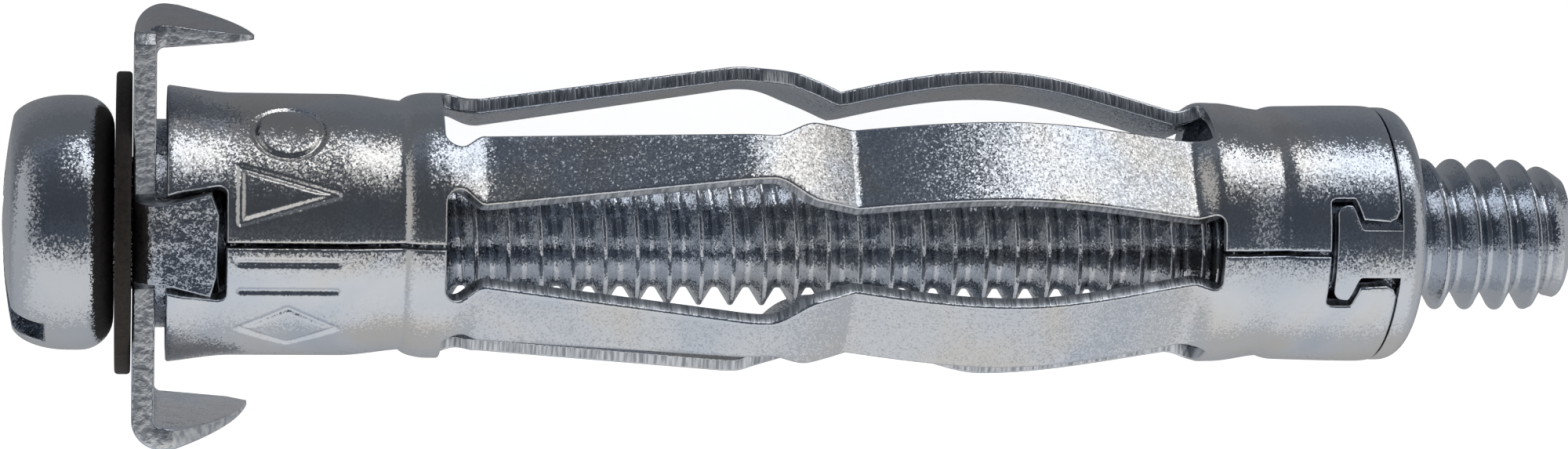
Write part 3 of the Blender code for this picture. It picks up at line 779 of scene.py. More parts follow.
@dataclass
class Screw(Piece):
    """Machine screw with a rounded head, a slot and a cross recess."""

    node: str = "screw"
    body: str = "screw"
    thread: Thread = Thread()
    length: float = 0.0586
    neck_radius: float = 0.0026
    neck_length: float = 0.0016
    tip_radius: float = 0.00255
    tip_chamfer: float = 0.0013
    head_radius: float = 0.0050
    head_height: float = 0.00433
    head_crown: float = 0.00035
    head_top_run: float = 0.0022
    head_top_round: float = 0.0011
    head_top_degrees: float = 75
    head_foot_round: float = 0.0013
    head_steps: int = 14
    slot_width: float = 0.0014
    slot_depth: float = 0.0017
    slot_angle: float = math.radians(-52.5)
    recess_span: float = 0.0052
    recess_width: float = 0.00115
    recess_depth: float = 0.0028
    recess_taper: float = 0.55
    edge_round: float = 0.00007
    segments: int = 128

    def head_profile(self) -> Outline:
        """Outline the head and the neck that runs into the thread.

        Returns:
            Points of (x, radius), whose ends are nearly on the axis, where turning closes them.
        """
        shoulder = self.head_height - self.head_crown - self.head_top_run
        top = self.head_radius - self.head_top_round
        foot = self.head_radius - self.head_foot_round
        points = [(self.neck_length, TOUCH), (self.neck_length, self.neck_radius)]
        points += [(0.0, self.neck_radius), (0.0, foot)]
        points += arc((-self.head_foot_round, foot), self.head_foot_round, 0, 90)[1:]
        for along, out in arc((0, 0), 1, 90, 90 + self.head_top_degrees, self.head_steps):
            points.append((-shoulder + self.head_top_run * along, top + self.head_top_round * out))
        edge_x, edge_radius = points[-1]
        for i in range(1, self.head_steps + 1):
            share = i / self.head_steps
            crown = -self.head_height + (self.head_height + edge_x) * (1 - share) ** 2
            points.append((crown, max(edge_radius * (1 - share), TOUCH)))
        return points

    def cross_recess(self) -> Shape:
        """Make the tapered cross that is cut into the head.

        Returns:
            A solid whose arms lie along Y and Z.
        """
        mouth = -self.head_height - self.head_crown
        half, wing = self.recess_span / 2, self.recess_width / 2
        corners = []
        for quarter in range(4):
            turn = Matrix.Rotation(quarter * math.pi / 2, 3, "X")
            corners += [turn @ Vector((mouth, y, z)) for y, z in ((half, -wing), (half, wing), (wing, wing))]
        bm, floor = extruded(corners, (self.recess_depth + self.head_crown, 0, 0))
        bmesh.ops.scale(bm, verts=floor, vec=(1, self.recess_taper, self.recess_taper))
        return bm

    def driver_slot(self) -> Shape:
        """Make the straight slot that is cut across the whole head, past both its sides.

        Returns:
            A solid that lies along Z.
        """
        bm = bmesh.new()
        bmesh.ops.create_cube(bm, size=1.0)
        span = (2 * self.slot_depth, self.slot_width, 3 * self.head_radius)
        bmesh.ops.scale(bm, verts=bm.verts[:], vec=span)
        bmesh.ops.translate(bm, verts=bm.verts[:], vec=(-self.head_height, 0, 0))
        return bm

    def head(self) -> Shape:
        """Turn the head, cut its drive and take the edge off the cuts.

        Returns:
            The head with its neck, as one closed solid.
        """
        head = turned(self.head_profile(), self.segments)
        for tool, angle in ((self.driver_slot(), -self.slot_angle), (self.cross_recess(), self.slot_angle)):
            turn = Matrix.Rotation(angle, 3, "X")
            bmesh.ops.rotate(tool, verts=tool.verts[:], cent=(0, 0, 0), matrix=turn)
            head = combine(head, tool, Solids.DIFFERENCE)
        bmesh.ops.dissolve_degenerate(head, dist=MERGE, edges=head.edges[:])
        head.normal_update()
        rims = []
        for edge in head.edges:
            middle = (edge.verts[0].co + edge.verts[1].co) / 2
            if middle.x < -self.head_foot_round and edge.calc_face_angle(0.0) > CUT_ANGLE:
                rims.append(edge)
        round_edges(head, rims, self.edge_round, segments=2)
        return head

    def shank(self) -> Shape:
        """Sweep the thread and draw its last turns in towards the tip.

        Returns:
            The threaded shank, as one closed solid.
        """
        rod = self.thread.rod(self.neck_length / 2, self.length)
        slope = (self.thread.radius - self.tip_radius) / self.tip_chamfer
        for vert in rod.verts:
            limit = self.tip_radius + (self.length - vert.co.x) * slope
            out = math.hypot(vert.co.y, vert.co.z)
            if out > limit:
                vert.co.y *= limit / out
                vert.co.z *= limit / out
        return rod

    def build(self, finish: Material) -> Item:
        """Make the screw in one piece and dress it."""
        return self.settle(combine(self.head(), self.shank(), Solids.UNION), [finish], CUT_ANGLE)


@dataclass
class Washer(Piece):
    """Flat fibre washer with soft edges."""

    node: str = "washer"
    body: str = "washer"
    radius: float = 0.00595
    hole_radius: float = 0.00335
    edge_round: float = 0.00014
    segments: int = 128

    def build(self, finish: Material) -> Item:
        """Turn the washer and dress it.

        Args:
            finish: Its finish.

        Returns:
            The washer, riding on its body.
        """
        low, soft = self.stack.seat_gap, self.edge_round
        high = low + self.stack.washer_thickness
        profile = [(low, self.hole_radius)]
        profile += arc((low + soft, self.radius - soft), soft, 180, 90, 5)
        profile += arc((high - soft, self.radius - soft), soft, 90, 0, 5)
        profile += [(high, self.hole_radius)]
        return self.settle(turned(profile, self.segments), [finish])


@dataclass
class Flange(Piece):
    """Stamped plate with a drawn collar, two lock tabs and a bent spur at each long end.

    The spur's heel, bow, point and cheek are given in shares of its reach, of its width or of both, and
    the tab's flat and skew in shares of half its width and of its bulge.
    """

    node: str = "flange"
    length: float = 0.0164
    width: float = 0.0087
    corner: float = 0.0004
    bend_radius: float = 0.0003
    collar_wall: float = 0.00075
    collar_depth: float = 0.0019
    bore_radius: float = 0.00335
    spur_reach: float = 0.0036
    spur_lean: float = math.radians(6.5)
    spur_tip_thickness: float = 0.0002
    spur_shoulder: float = 0.0014
    spur_slit: float = 0.00025
    spur_heel: float = 0.12
    spur_bow: Pair = (0.80, 0.40)
    spur_point: float = 0.06
    spur_cheek: float = 0.7
    spur_steps: int = 14
    tab_relief: float = 0.0003
    tab_bulge: float = 0.0003
    tab_flat: float = 0.6
    tab_skew: float = 0.3
    rim_round: float = 0.00008
    segments: int = 128
    bend_steps: int = 12

    def __post_init__(self) -> None:
        """Work out the bends: the radius at the middle of the sheet, and where each begins and its length."""
        thickness = self.stack.flange_thickness
        self.neutral = self.bend_radius + thickness / 2
        self.spur_line = self.length / 2 - self.bend_radius - thickness
        self.spur_arc = self.neutral * (math.pi / 2 + self.spur_lean)
        self.tab_line = self.stack.sleeve_radius + self.stack.flare_rise / 2 - self.bend_radius - thickness
        self.tab_arc = self.neutral * math.pi / 2

    def spur_outline(self) -> Outline:
        """Outline one spur from its heel round its curved edge and tip to the slit.

        Returns:
            Points of the flat sheet, with +X past the spur's bend.
        """
        half, reach = self.width / 2, self.spur_reach
        width = self.width - self.spur_shoulder
        edge = half - self.spur_shoulder
        root = self.spur_line + self.spur_arc
        heel = (root + self.spur_heel * reach, -half)
        bow = (root + self.spur_bow[0] * reach, -half + self.spur_bow[1] * width)
        point = (root + reach - self.bend_radius, edge - self.spur_point * width)
        points = [heel]
        for i in range(1, self.spur_steps + 1):
            share = i / self.spur_steps
            weights = ((1 - share) ** 2, 2 * share * (1 - share), share**2)
            points.append(
                tuple(sum(w * p[k] for w, p in zip(weights, (heel, bow, point))) for k in (0, 1))
            )
        points += [(root + self.spur_cheek * reach, edge), (self.spur_line, edge)]
        points += [(self.spur_line, edge + self.spur_slit)]
        return points

    def tab_outline(self) -> Outline:
        """Outline one lock tab, with the relief cuts beside its neck.

        Returns:
            Points of the flat sheet, with +Y past the tab's bend.
        """
        neck, end = self.stack.tab_neck_width / 2, self.stack.tab_end_width / 2
        relief = self.tab_line - self.tab_relief
        root = self.tab_line + self.tab_arc
        tip = root + self.stack.tab_reach - self.bend_radius
        right = [
            (neck + self.tab_relief, self.width / 2),
            (neck + self.tab_relief, relief),
            (neck, relief),
            (neck, root),
            (end, tip - self.tab_bulge),
        ]
        top = [(self.tab_flat * end, tip), (-self.tab_flat * end, tip - self.tab_skew * self.tab_bulge)]
        return right + top + [(-x, y) for x, y in reversed(right)]

    def blank(self) -> Shape:
        """Cut the flat sheet, soften its rims and score it for its bends.

        Returns:
            The flat sheet, lying across Z.
        """
        half_length, half_width = self.length / 2, self.width / 2
        face, wall, thickness = self.stack.flange_face, self.stack.wall_face, self.stack.flange_thickness
        shoulder = [
            (half_length - self.corner * 0.5, half_width - self.spur_shoulder + self.spur_slit),
            (half_length - self.corner * 0.5, half_width - self.corner),
            (half_length - self.corner * 1.5, half_width),
        ]
        side = [(self.spur_line, -half_width)] + self.spur_outline() + shoulder + self.tab_outline()
        bm = prism(side + [(-y, -z) for y, z in side], face, wall)
        rim = arc((0, 0), self.bore_radius + self.collar_wall / 2, 0, 360, self.segments)[:-1]
        bm = combine(bm, prism(rim, face - thickness, wall + thickness), Solids.DIFFERENCE)
        soften_rims(bm, self.rim_round)
        for along, line, reach in (
            (Along.X, self.spur_line, self.spur_arc),
            (Along.Y, self.tab_line, self.tab_arc),
        ):
            folds = [line + reach * i / self.bend_steps for i in range(self.bend_steps + 1)]
            score(bm, along, folds + [-place for place in folds])
        return bm

    def bend(self, vert: Vert, line: float, angle: float, across: Vector, thinning: float = 0.0) -> None:
        """Fold the sheet past a line towards +X.

        Args:
            vert: The point that is carried.
            line: Where the bend begins, from the axis.
            angle: How far the sheet turns.
            across: Unit vector in the sheet's plane that points past the line.
            thinning: Share of the thickness that each metre past the bend takes off the inner face.
        """
        run = vert.co.dot(across) - line
        if run <= 0:
            return
        turn = min(run / self.neutral, angle)
        straight = max(run - self.neutral * angle, 0.0)
        depth = (vert.co.x - self.stack.flange_face) * (1 - thinning * straight)
        radius = self.bend_radius + self.stack.flange_thickness - depth
        centre = self.stack.wall_face + self.bend_radius
        out = line + radius * math.sin(turn) + straight * math.cos(turn)
        vert.co += across * (out - line - run)
        vert.co.x = centre - radius * math.cos(turn) + straight * math.sin(turn)

    def collar(self) -> Shape:
        """Turn the collar that is drawn from the plate into the sleeve.

        Returns:
            The closed solid.
        """
        lip, bore = self.collar_wall / 4, self.bore_radius
        face, wall = self.stack.flange_face, self.stack.wall_face
        outer = bore + self.collar_wall
        profile = [(face + lip / 2, bore + lip), (face + lip / 2, outer - lip / 2), (wall - lip, outer)]
        profile += arc((wall + self.collar_depth - lip, outer - lip), lip, 90, 0, 6)
        profile += [(wall + self.collar_depth, bore), (face + lip * 1.5, bore)]
        return turned(profile, self.segments)

    def build(self, rolled: Material, sheared: Material) -> Item:
        """Fold the blank, add the collar and dress the flange.

        Args:
            rolled: Finish of its faces.
            sheared: Finish of its cut walls.

        Returns:
            The flange, riding on its body.
        """
        bm = self.blank()
        slit = self.width / 2 - self.spur_shoulder + self.spur_slit / 2
        kept = self.spur_tip_thickness / self.stack.flange_thickness
        thinning = (1 - kept) / (self.spur_reach - self.bend_radius)
        for vert in bm.verts:
            vert.co = Vector((vert.co.z, vert.co.x, vert.co.y))
            if abs(vert.co.z) > self.tab_line and abs(vert.co.y) < self.stack.tab_end_width:
                side = Vector((0, 0, math.copysign(1, vert.co.z)))
                self.bend(vert, self.tab_line, math.pi / 2, side)
            elif vert.co.z * math.copysign(1, vert.co.y) < slit:
                side = Vector((0, math.copysign(1, vert.co.y), 0))
                self.bend(vert, self.spur_line, math.pi / 2 + self.spur_lean, side, thinning)
        return self.settle(combine(bm, self.collar(), Solids.UNION), [rolled, sheared])


@dataclass(frozen=True)
class Knot:
    """A place on the sleeve's side view: its radius, the slope on each side, and how many bends follow."""

    at: float
    radius: float
    slope_in: float
    slope_out: float
    steps: int


@dataclass
class Sleeve(Piece):
    """Rolled sheet sleeve with a seam, five formed legs and a stamped mark on its head collar.

    Each leg's bulges stand out by its own shares of the knee's, the valley's and the crown's rise. The
    notch's flare is in shares of its depth and of its widening.
    """

    node: str = "sleeve"
    sheet: float = 0.0006
    seam_gap: float = 0.00018
    legs: int = 5
    flare_length: float = 0.0026
    groove_from_window: float = 0.00160
    groove_depth: float = 0.00024
    groove_ramp: float = 0.0024
    ear_rise: float = 0.00009
    end_groove_from_window: float = 0.0026
    end_groove_depth: float = 0.00016
    end_groove_rise: float = 0.0007
    end_roll: float = 0.00006
    lobe_radius: float = 0.0006
    lobe_half_width: float = 0.00229
    neck_at: float = 0.0015
    waist_from_knee: float = 0.0005
    leg_width_at_neck: float = 0.0030
    leg_width_at_knee: float = 0.0019
    leg_width: float = 0.00348
    leg_hollow: float = 0.00001
    widening_length: float = 0.0019
    window_corner: float = 0.0004
    crease_at: float = 0.0016
    crease_drop: float = 0.00030
    knee_at: float = 0.01215
    knee_rise: float = 0.00121
    knee_slope: float = 0.1476
    knee_rounding: float = 0.0015
    valley_from_knee: float = 0.00385
    valley_rise: float = 0.00011
    crown_from_knee: float = 0.01005
    crown_rise: float = 0.00103
    end_crease_from_end: float = 0.0011
    end_crease_drop: float = 0.0005
    knee_bulge: tuple[float, ...] = (0.88, 0.80, 0.78, 1.02, 0.96)
    valley_bulge: tuple[float, ...] = (0.86, -0.40, 0.80, 1.02, 0.96)
    crown_bulge: tuple[float, ...] = (0.86, 0.66, 1.0, 1.02, 0.96)
    tab_clearance: float = 0.0003
    notch_flare: Pair = (0.25, 0.35)
    lug_clearance: float = 0.00012
    rim_round: float = 0.00009
    lines_around: int = 120
    mark_depth: float = 0.00011
    mark_stroke: float = 0.00021
    mark_cuts: int = 4
    mark_from_window: Pair = (0.0079, 0.0042)
    mark_half_width: float = 0.0011
    mark_bar: float = 0.0006
    mark_ring: float = 0.72
    mark_degrees: tuple[float, ...] = (42, 14, 338, 306)

    def __post_init__(self) -> None:
        """Lay out the legs' places and the side view's knots from the sizes."""
        base, stack = self.stack.sleeve_radius, self.stack
        start, end = stack.window_start, stack.window_end
        self.pitch_arc = 2 * math.pi * base / self.legs
        self.crease = start + self.crease_at
        self.knee = start + self.knee_at
        self.valley = self.knee + self.valley_from_knee
        self.crown = self.knee + self.crown_from_knee
        self.end_crease = end - self.end_crease_from_end
        groove = start - self.groove_from_window
        end_groove = end + self.end_groove_from_window
        ramp_end = self.knee - self.knee_rounding
        ramp_radius = base - self.crease_drop + self.knee_slope * (ramp_end - self.crease)
        ear = base + self.ear_rise
        rise = self.end_groove_rise
        self.knots = [
            Knot(stack.sleeve_start, base + stack.flare_rise, 0, -0.10, 10),
            Knot(stack.sleeve_start + self.flare_length, base, 0, 0, 12),
            Knot(groove - self.groove_ramp, base, 0, 0, 12),
            Knot(groove, base - self.groove_depth, -0.08, 0.9, 8),
            Knot(groove + 0.45 * self.groove_from_window, base + self.ear_rise * 0.6, 0.2, 0.2, 4),
            Knot(start - 0.3 * self.groove_from_window, ear, 0, 0, 3),
            Knot(start, ear, 0, 0, 14),
            Knot(self.crease, base - self.crease_drop, 0, self.knee_slope, 22),
            Knot(ramp_end, min(ramp_radius, base + self.knee_rise), self.knee_slope, self.knee_slope, 14),
            Knot(self.knee, base + self.knee_rise, 0, 0, 30),
            Knot(self.valley, base + self.valley_rise, -0.5, 0.23, 30),
            Knot(self.crown, base + self.crown_rise, 0, 0, 30),
            Knot(self.end_crease, base - self.end_crease_drop, -0.27, 0, 12),
            Knot(end, ear, 0.1, 0.1, 4),
            Knot(end + 0.25 * self.end_groove_from_window, ear, 0, 0, 12),
            Knot(end_groove, base - self.end_groove_depth, -0.05, 0.5, 8),
            Knot(end_groove + rise, base, 0.02, 0.02, 10),
            Knot(stack.sleeve_end - rise, base + self.end_roll, 0, 0, 6),
            Knot(stack.sleeve_end, base, -0.25, 0, 0),
        ]

    def radius(self, at: float) -> float:
        """Read the side view's radius at one place, on a cubic between two knots.

        Args:
            at: The place along the axis.

        Returns:
            The radius of the sheet's outer face.
        """
        at = min(max(at, self.knots[0].at), self.knots[-1].at)
        for left, right in zip(self.knots, self.knots[1:]):
            if at <= right.at:
                break
        span = right.at - left.at
        t = (at - left.at) / span
        return (
            left.radius * (1 + 2 * t) * (1 - t) ** 2
            + right.radius * t * t * (3 - 2 * t)
            + left.slope_out * span * t * (1 - t) ** 2
            - right.slope_in * span * t * t * (1 - t)
        )

    def leg_radius(self, at: float, leg: int) -> float:
        """Read one leg's radius, its bulges standing above the line from crease to crease.

        Args:
            at: The place along the axis.
            leg: The leg's number, from 0.

        Returns:
            The radius of the leg's outer face.
        """
        radius = self.radius(at)
        if not self.crease < at < self.end_crease:
            return radius
        share = (at - self.crease) / (self.end_crease - self.crease)
        base = self.stack.sleeve_radius
        line = base - self.crease_drop + (self.crease_drop - self.end_crease_drop) * share
        knee, valley, crown = self.knee_bulge[leg], self.valley_bulge[leg], self.crown_bulge[leg]
        fall = smooth((at - self.knee) / (self.valley - self.knee))
        rise = smooth((at - self.valley) / (self.crown - self.valley))
        return line + (knee + (valley - knee) * fall + (crown - valley) * rise) * (radius - line)

    def flatness(self, at: float) -> float:
        """Tell how flat the legs are across.

        Args:
            at: The place along the axis.

        Returns:
            A share: 0 where the sleeve is round, and 1 where the legs are flat.
        """
        start, end = self.stack.window_start, self.stack.window_end
        into = smooth((at - start) / (self.crease - start))
        return min(into, smooth((end - at) / (end - self.end_crease)))

    def roll(self, vert: Vert) -> None:
        """Carry a point of the flat blank to the formed sleeve.

        Args:
            vert: The point, with x along the axis, y around it and z into the sheet.
        """
        at, around, depth = vert.co
        base = self.stack.sleeve_radius
        leg = min(max(int(around / self.pitch_arc), 0), self.legs - 1)
        middle = (leg + 0.5) * self.pitch_arc
        flat = self.flatness(at)
        step = self.sheet / 20
        radius = self.leg_radius(at, leg)
        slope = (self.leg_radius(at + step, leg) - self.leg_radius(at - step, leg)) / (2 * step)
        tilt = math.hypot(1, slope)
        side = (around - middle) * ((1 - flat) * radius / base + flat)
        curvature = (1 - flat) / radius - flat * 8 * self.leg_hollow / self.leg_width**2
        if abs(curvature) < NEARLY_FLAT:
            curvature = NEARLY_FLAT
        angle = curvature * side
        inward = depth / tilt
        out = radius - (1 - math.cos(angle)) / curvature - inward * math.cos(angle)
        across = math.sin(angle) / curvature - inward * math.sin(angle)
        turn = middle / base
        vert.co.x = at + depth * slope / tilt
        vert.co.y = -out * math.sin(turn) - across * math.cos(turn)
        vert.co.z = out * math.cos(turn) - across * math.sin(turn)

    def window(self) -> Outline:
        """Outline a window from its head end to its far end.

        Returns:
            Points of (along, across), from its middle line.
        """
        start, end = self.stack.window_start, self.stack.window_end
        half_pitch, corner = self.pitch_arc / 2, self.window_corner
        lobe = self.lobe_half_width - self.lobe_radius
        neck = (start + self.neck_at, half_pitch - self.leg_width_at_neck / 2)
        knee = (self.knee + self.waist_from_knee, half_pitch - self.leg_width_at_knee / 2)
        wide = (knee[0] + self.widening_length, half_pitch - self.leg_width / 2)
        points = arc((start + self.lobe_radius, lobe), self.lobe_radius, 180, 90)
        points += blend_points(points[-1], neck, 9) + [neck, knee]
        points += blend_points(knee, wide, 12) + [wide]
        points += arc((end - corner, wide[1] - corner), corner, 90, 0, 8)
        return mirrored(points)

    def notch(self) -> Outline:
        """Outline the dovetail notch round the flange's lock tab.

        Returns:
            Points of (along, across), from the tab's middle.
        """
        start, room = self.stack.sleeve_start, self.tab_clearance
        mouth = self.stack.tab_neck_width / 2 + room
        inner = self.stack.tab_end_width / 2 + room
        floor = self.stack.wall_face + self.stack.tab_reach + room
        deep, wide = self.notch_flare
        points = [(start - self.sheet, mouth), (start, mouth)]
        points += [(start + deep * (floor - start), mouth + wide * (inner - mouth))]
        points += arc((floor - room, inner - room), room, 100, 0, 8)
        return mirrored(points)

    def slot(self) -> Outline:
        """Outline the T-shaped slot round the nut's lug.

        Returns:
            Points of (along, across), from the lug's middle.
        """
        stack, end, room = self.stack, self.stack.sleeve_end, self.lug_clearance
        wide, neck = stack.lug_head_width / 2 + 2 * room, stack.lug_neck_width / 2 + room
        mouth = stack.lug_neck_width / 2 + 2.5 * room
        edge = stack.nut_start - stack.lug_reach - 2 * room
        shoulder = (stack.nut_start - stack.lug_reach + stack.lug_head_length + room, wide - room)
        foot = (shoulder[0] + stack.lug_foot_length, neck)
        lip = 0.5 * (end - shoulder[0])
        corner = 2 * room
        points = arc((edge + corner, wide - corner), corner, 180, 90, 6)
        points += [(shoulder[0], wide)]
        points += [point for point in blend_points(shoulder, foot, 9) if point[1] > mouth][1:]
        points += [(end - lip / 2, mouth), (end - lip / 6, mouth + lip / 6)]
        points += [(end, mouth + lip / 2), (end + self.sheet, mouth + lip / 2)]
        return mirrored(points)

    def marks(self) -> list[Outline]:
        """Place the stamped strokes of a plain, generic mark.

        Returns:
            Lines of (along, around) on the flat blank.
        """
        low, high = (self.stack.window_start - back for back in self.mark_from_window)
        middle, half = (low + high) / 2, (high - low) / 2
        wide, bar = self.mark_half_width, self.mark_bar
        lozenge, bars, wedge, ring = (
            math.radians(angle) * self.stack.sleeve_radius for angle in self.mark_degrees
        )
        strokes = [
            ([(low, 0.0), (middle, -wide), (high, 0.0), (middle, wide), (low, 0.0)], lozenge),
            ([(low, -bar), (high, -bar)], bars),
            ([(low, bar), (high, bar)], bars),
            ([(low, -wide), (high, 0.0), (low, wide), (low, -wide)], wedge),
            (arc((middle, 0.0), half * self.mark_ring, 0, 360, 32), ring),
        ]
        return [[(x, y + place) for x, y in line] for line, place in strokes]

    def stamp(self, bm: Shape) -> None:
        """Press the mark's strokes into the sheet's outer face.

        Args:
            bm: The flat blank, its outer face at z = 0.
        """
        strokes = [(line[i], line[i + 1]) for line in self.marks() for i in range(len(line) - 1)]
        reach = 2 * self.mark_stroke
        edges = set()
        for face in bm.faces:
            middle = face.calc_center_median()
            if middle.z < TOUCH and any(distance(middle, *stroke) < reach for stroke in strokes):
                edges.update(face.edges)
        bmesh.ops.subdivide_edges(bm, edges=list(edges), cuts=self.mark_cuts, use_grid_fill=True)
        for vert in bm.verts:
            if vert.co.z < TOUCH:
                away = min(distance(vert.co, *stroke) for stroke in strokes)
                vert.co.z += self.mark_depth * (1 - smooth(away / self.mark_stroke))

    def build(self, rolled: Material, sheared: Material) -> Item:
        """Punch, soften, score, stamp and roll the sleeve, then dress it.

        Args:
            rolled: Finish of its faces.
            sheared: Finish of its cut walls.

        Returns:
            The sleeve, riding on its body.
        """
        length = 2 * math.pi * self.stack.sleeve_radius
        low, high = self.seam_gap / 2, length - self.seam_gap / 2
        start, end = self.stack.sleeve_start, self.stack.sleeve_end
        bm = prism([(start, low), (end, low), (end, high), (start, high)], 0, self.sheet)
        cutters = [(self.window(), i * self.pitch_arc) for i in range(self.legs + 1)]
        for place in (0.0, length / 2, length):
            cutters += [(self.notch(), place), (self.slot(), place)]
        tools = [
            prism([(x, y + place) for x, y in line], -self.sheet, 2 * self.sheet) for line, place in cutters
        ]
        bm = combine(bm, gather(tools), Solids.DIFFERENCE)
        soften_rims(bm, self.rim_round)
        stations = []
        for left, right in zip(self.knots, self.knots[1:]):
            stations += [left.at + (right.at - left.at) * i / left.steps for i in range(left.steps)]
        score(bm, Along.X, stations[1:])
        score(bm, Along.Y, [length * i / self.lines_around for i in range(1, self.lines_around)])
        self.stamp(bm)
        for vert in bm.verts:
            self.roll(vert)
        return self.settle(bm, [rolled, sheared])


@dataclass
class EndNut(Piece):
    """Formed cap with a threaded boss inside the sleeve and two T-shaped lugs in its slots."""

    node: str = "end_nut"
    thread: Thread = Thread()
    rim: float = 0.00035
    corner_round: float = 0.00085
    corner_end_degrees: float = 20
    thickness: float = 0.00127
    boss_radius: float = 0.0042
    boss_length: float = 0.0037
    lug_corner: float = 0.00045
    lug_sheet: float = 0.00062
    lug_sink: float = 0.00002
    lug_strips: int = 16
    thread_clearance: float = 0.00012
    mouth_radius: float = 0.0036
    mouth_depth: float = 0.0004
    mouth_chamfer: float = 0.0003
    edge_round: float = 0.00012
    rim_round: float = 0.00007
    segments: int = 128

    def shell(self) -> Shape:
        """Turn the cap and its boss.

        Returns:
            The closed solid, its bore narrower than the thread.
        """
        start, outer = self.stack.nut_start, self.stack.sleeve_radius
        end, inner = start + self.thickness, self.thread.radius / 2
        soft, corner, last = self.edge_round, self.corner_round, self.corner_end_degrees
        profile = [(start - self.boss_length, inner), (start - self.boss_length, self.boss_radius)]
        profile += [(start, self.boss_radius)]
        profile += arc((start + soft / 2, outer - soft / 2), soft / 2, 180, 90, 4)
        profile += arc((start + self.rim, outer - corner), corner, 90, last, 12)
        profile += arc((end - soft, self.mouth_radius + soft), soft, last, -90, 6)
        floor = end - self.mouth_depth
        profile += [(floor, self.mouth_radius - self.mouth_chamfer), (floor, inner)]
        return turned(profile, self.segments)

    def lug(self, side: int) -> Shape:
        """Cut one lug and roll it to the sleeve's curve, with its foot sunk in the cap.

        Args:
            side: 0 for the lug on top, 1 for the one below.

        Returns:
            The lug.
        """
        stack, start, corner = self.stack, self.stack.nut_start, self.lug_corner
        head, neck = stack.lug_head_width / 2, stack.lug_neck_width / 2
        edge = start - stack.lug_reach
        shoulder = (edge + stack.lug_head_length, head)
        foot = (shoulder[0] + stack.lug_foot_length, neck)
        half = arc((edge + corner, head - corner), corner, 180, 90, 8)
        half += [shoulder] + blend_points(shoulder, foot, 9) + [foot, (start + self.rim / 2, neck)]
        bm = prism(mirrored(half), self.lug_sink, self.lug_sheet)
        soften_rims(bm, self.rim_round)
        strips = self.lug_strips
        score(bm, Along.Y, [stack.lug_head_width * (i / strips - 0.5) for i in range(1, strips)])
        for vert in bm.verts:
            angle = vert.co.y / stack.sleeve_radius + side * math.pi
            out = stack.sleeve_radius - vert.co.z
            vert.co = Vector((vert.co.x, -out * math.sin(angle), out * math.cos(angle)))
        return bm

    def build(self, rolled: Material, sheared: Material) -> Item:
        """Join the cap and its lugs, cut the thread and dress the nut.

        Args:
            rolled: Finish of its faces.
            sheared: Finish of its lugs' cut walls.

        Returns:
            The nut, riding on its body.
        """
        nut = self.shell()
        for side in (0, 1):
            nut = combine(nut, self.lug(side), Solids.UNION)
        low = self.stack.nut_start - self.boss_length - self.thread.pitch
        high = self.stack.nut_start + self.thickness + self.thread.pitch
        tap = self.thread.rod(low, high, self.thread_clearance)
        return self.settle(combine(nut, tap, Solids.DIFFERENCE), [rolled, sheared], CUT_ANGLE)


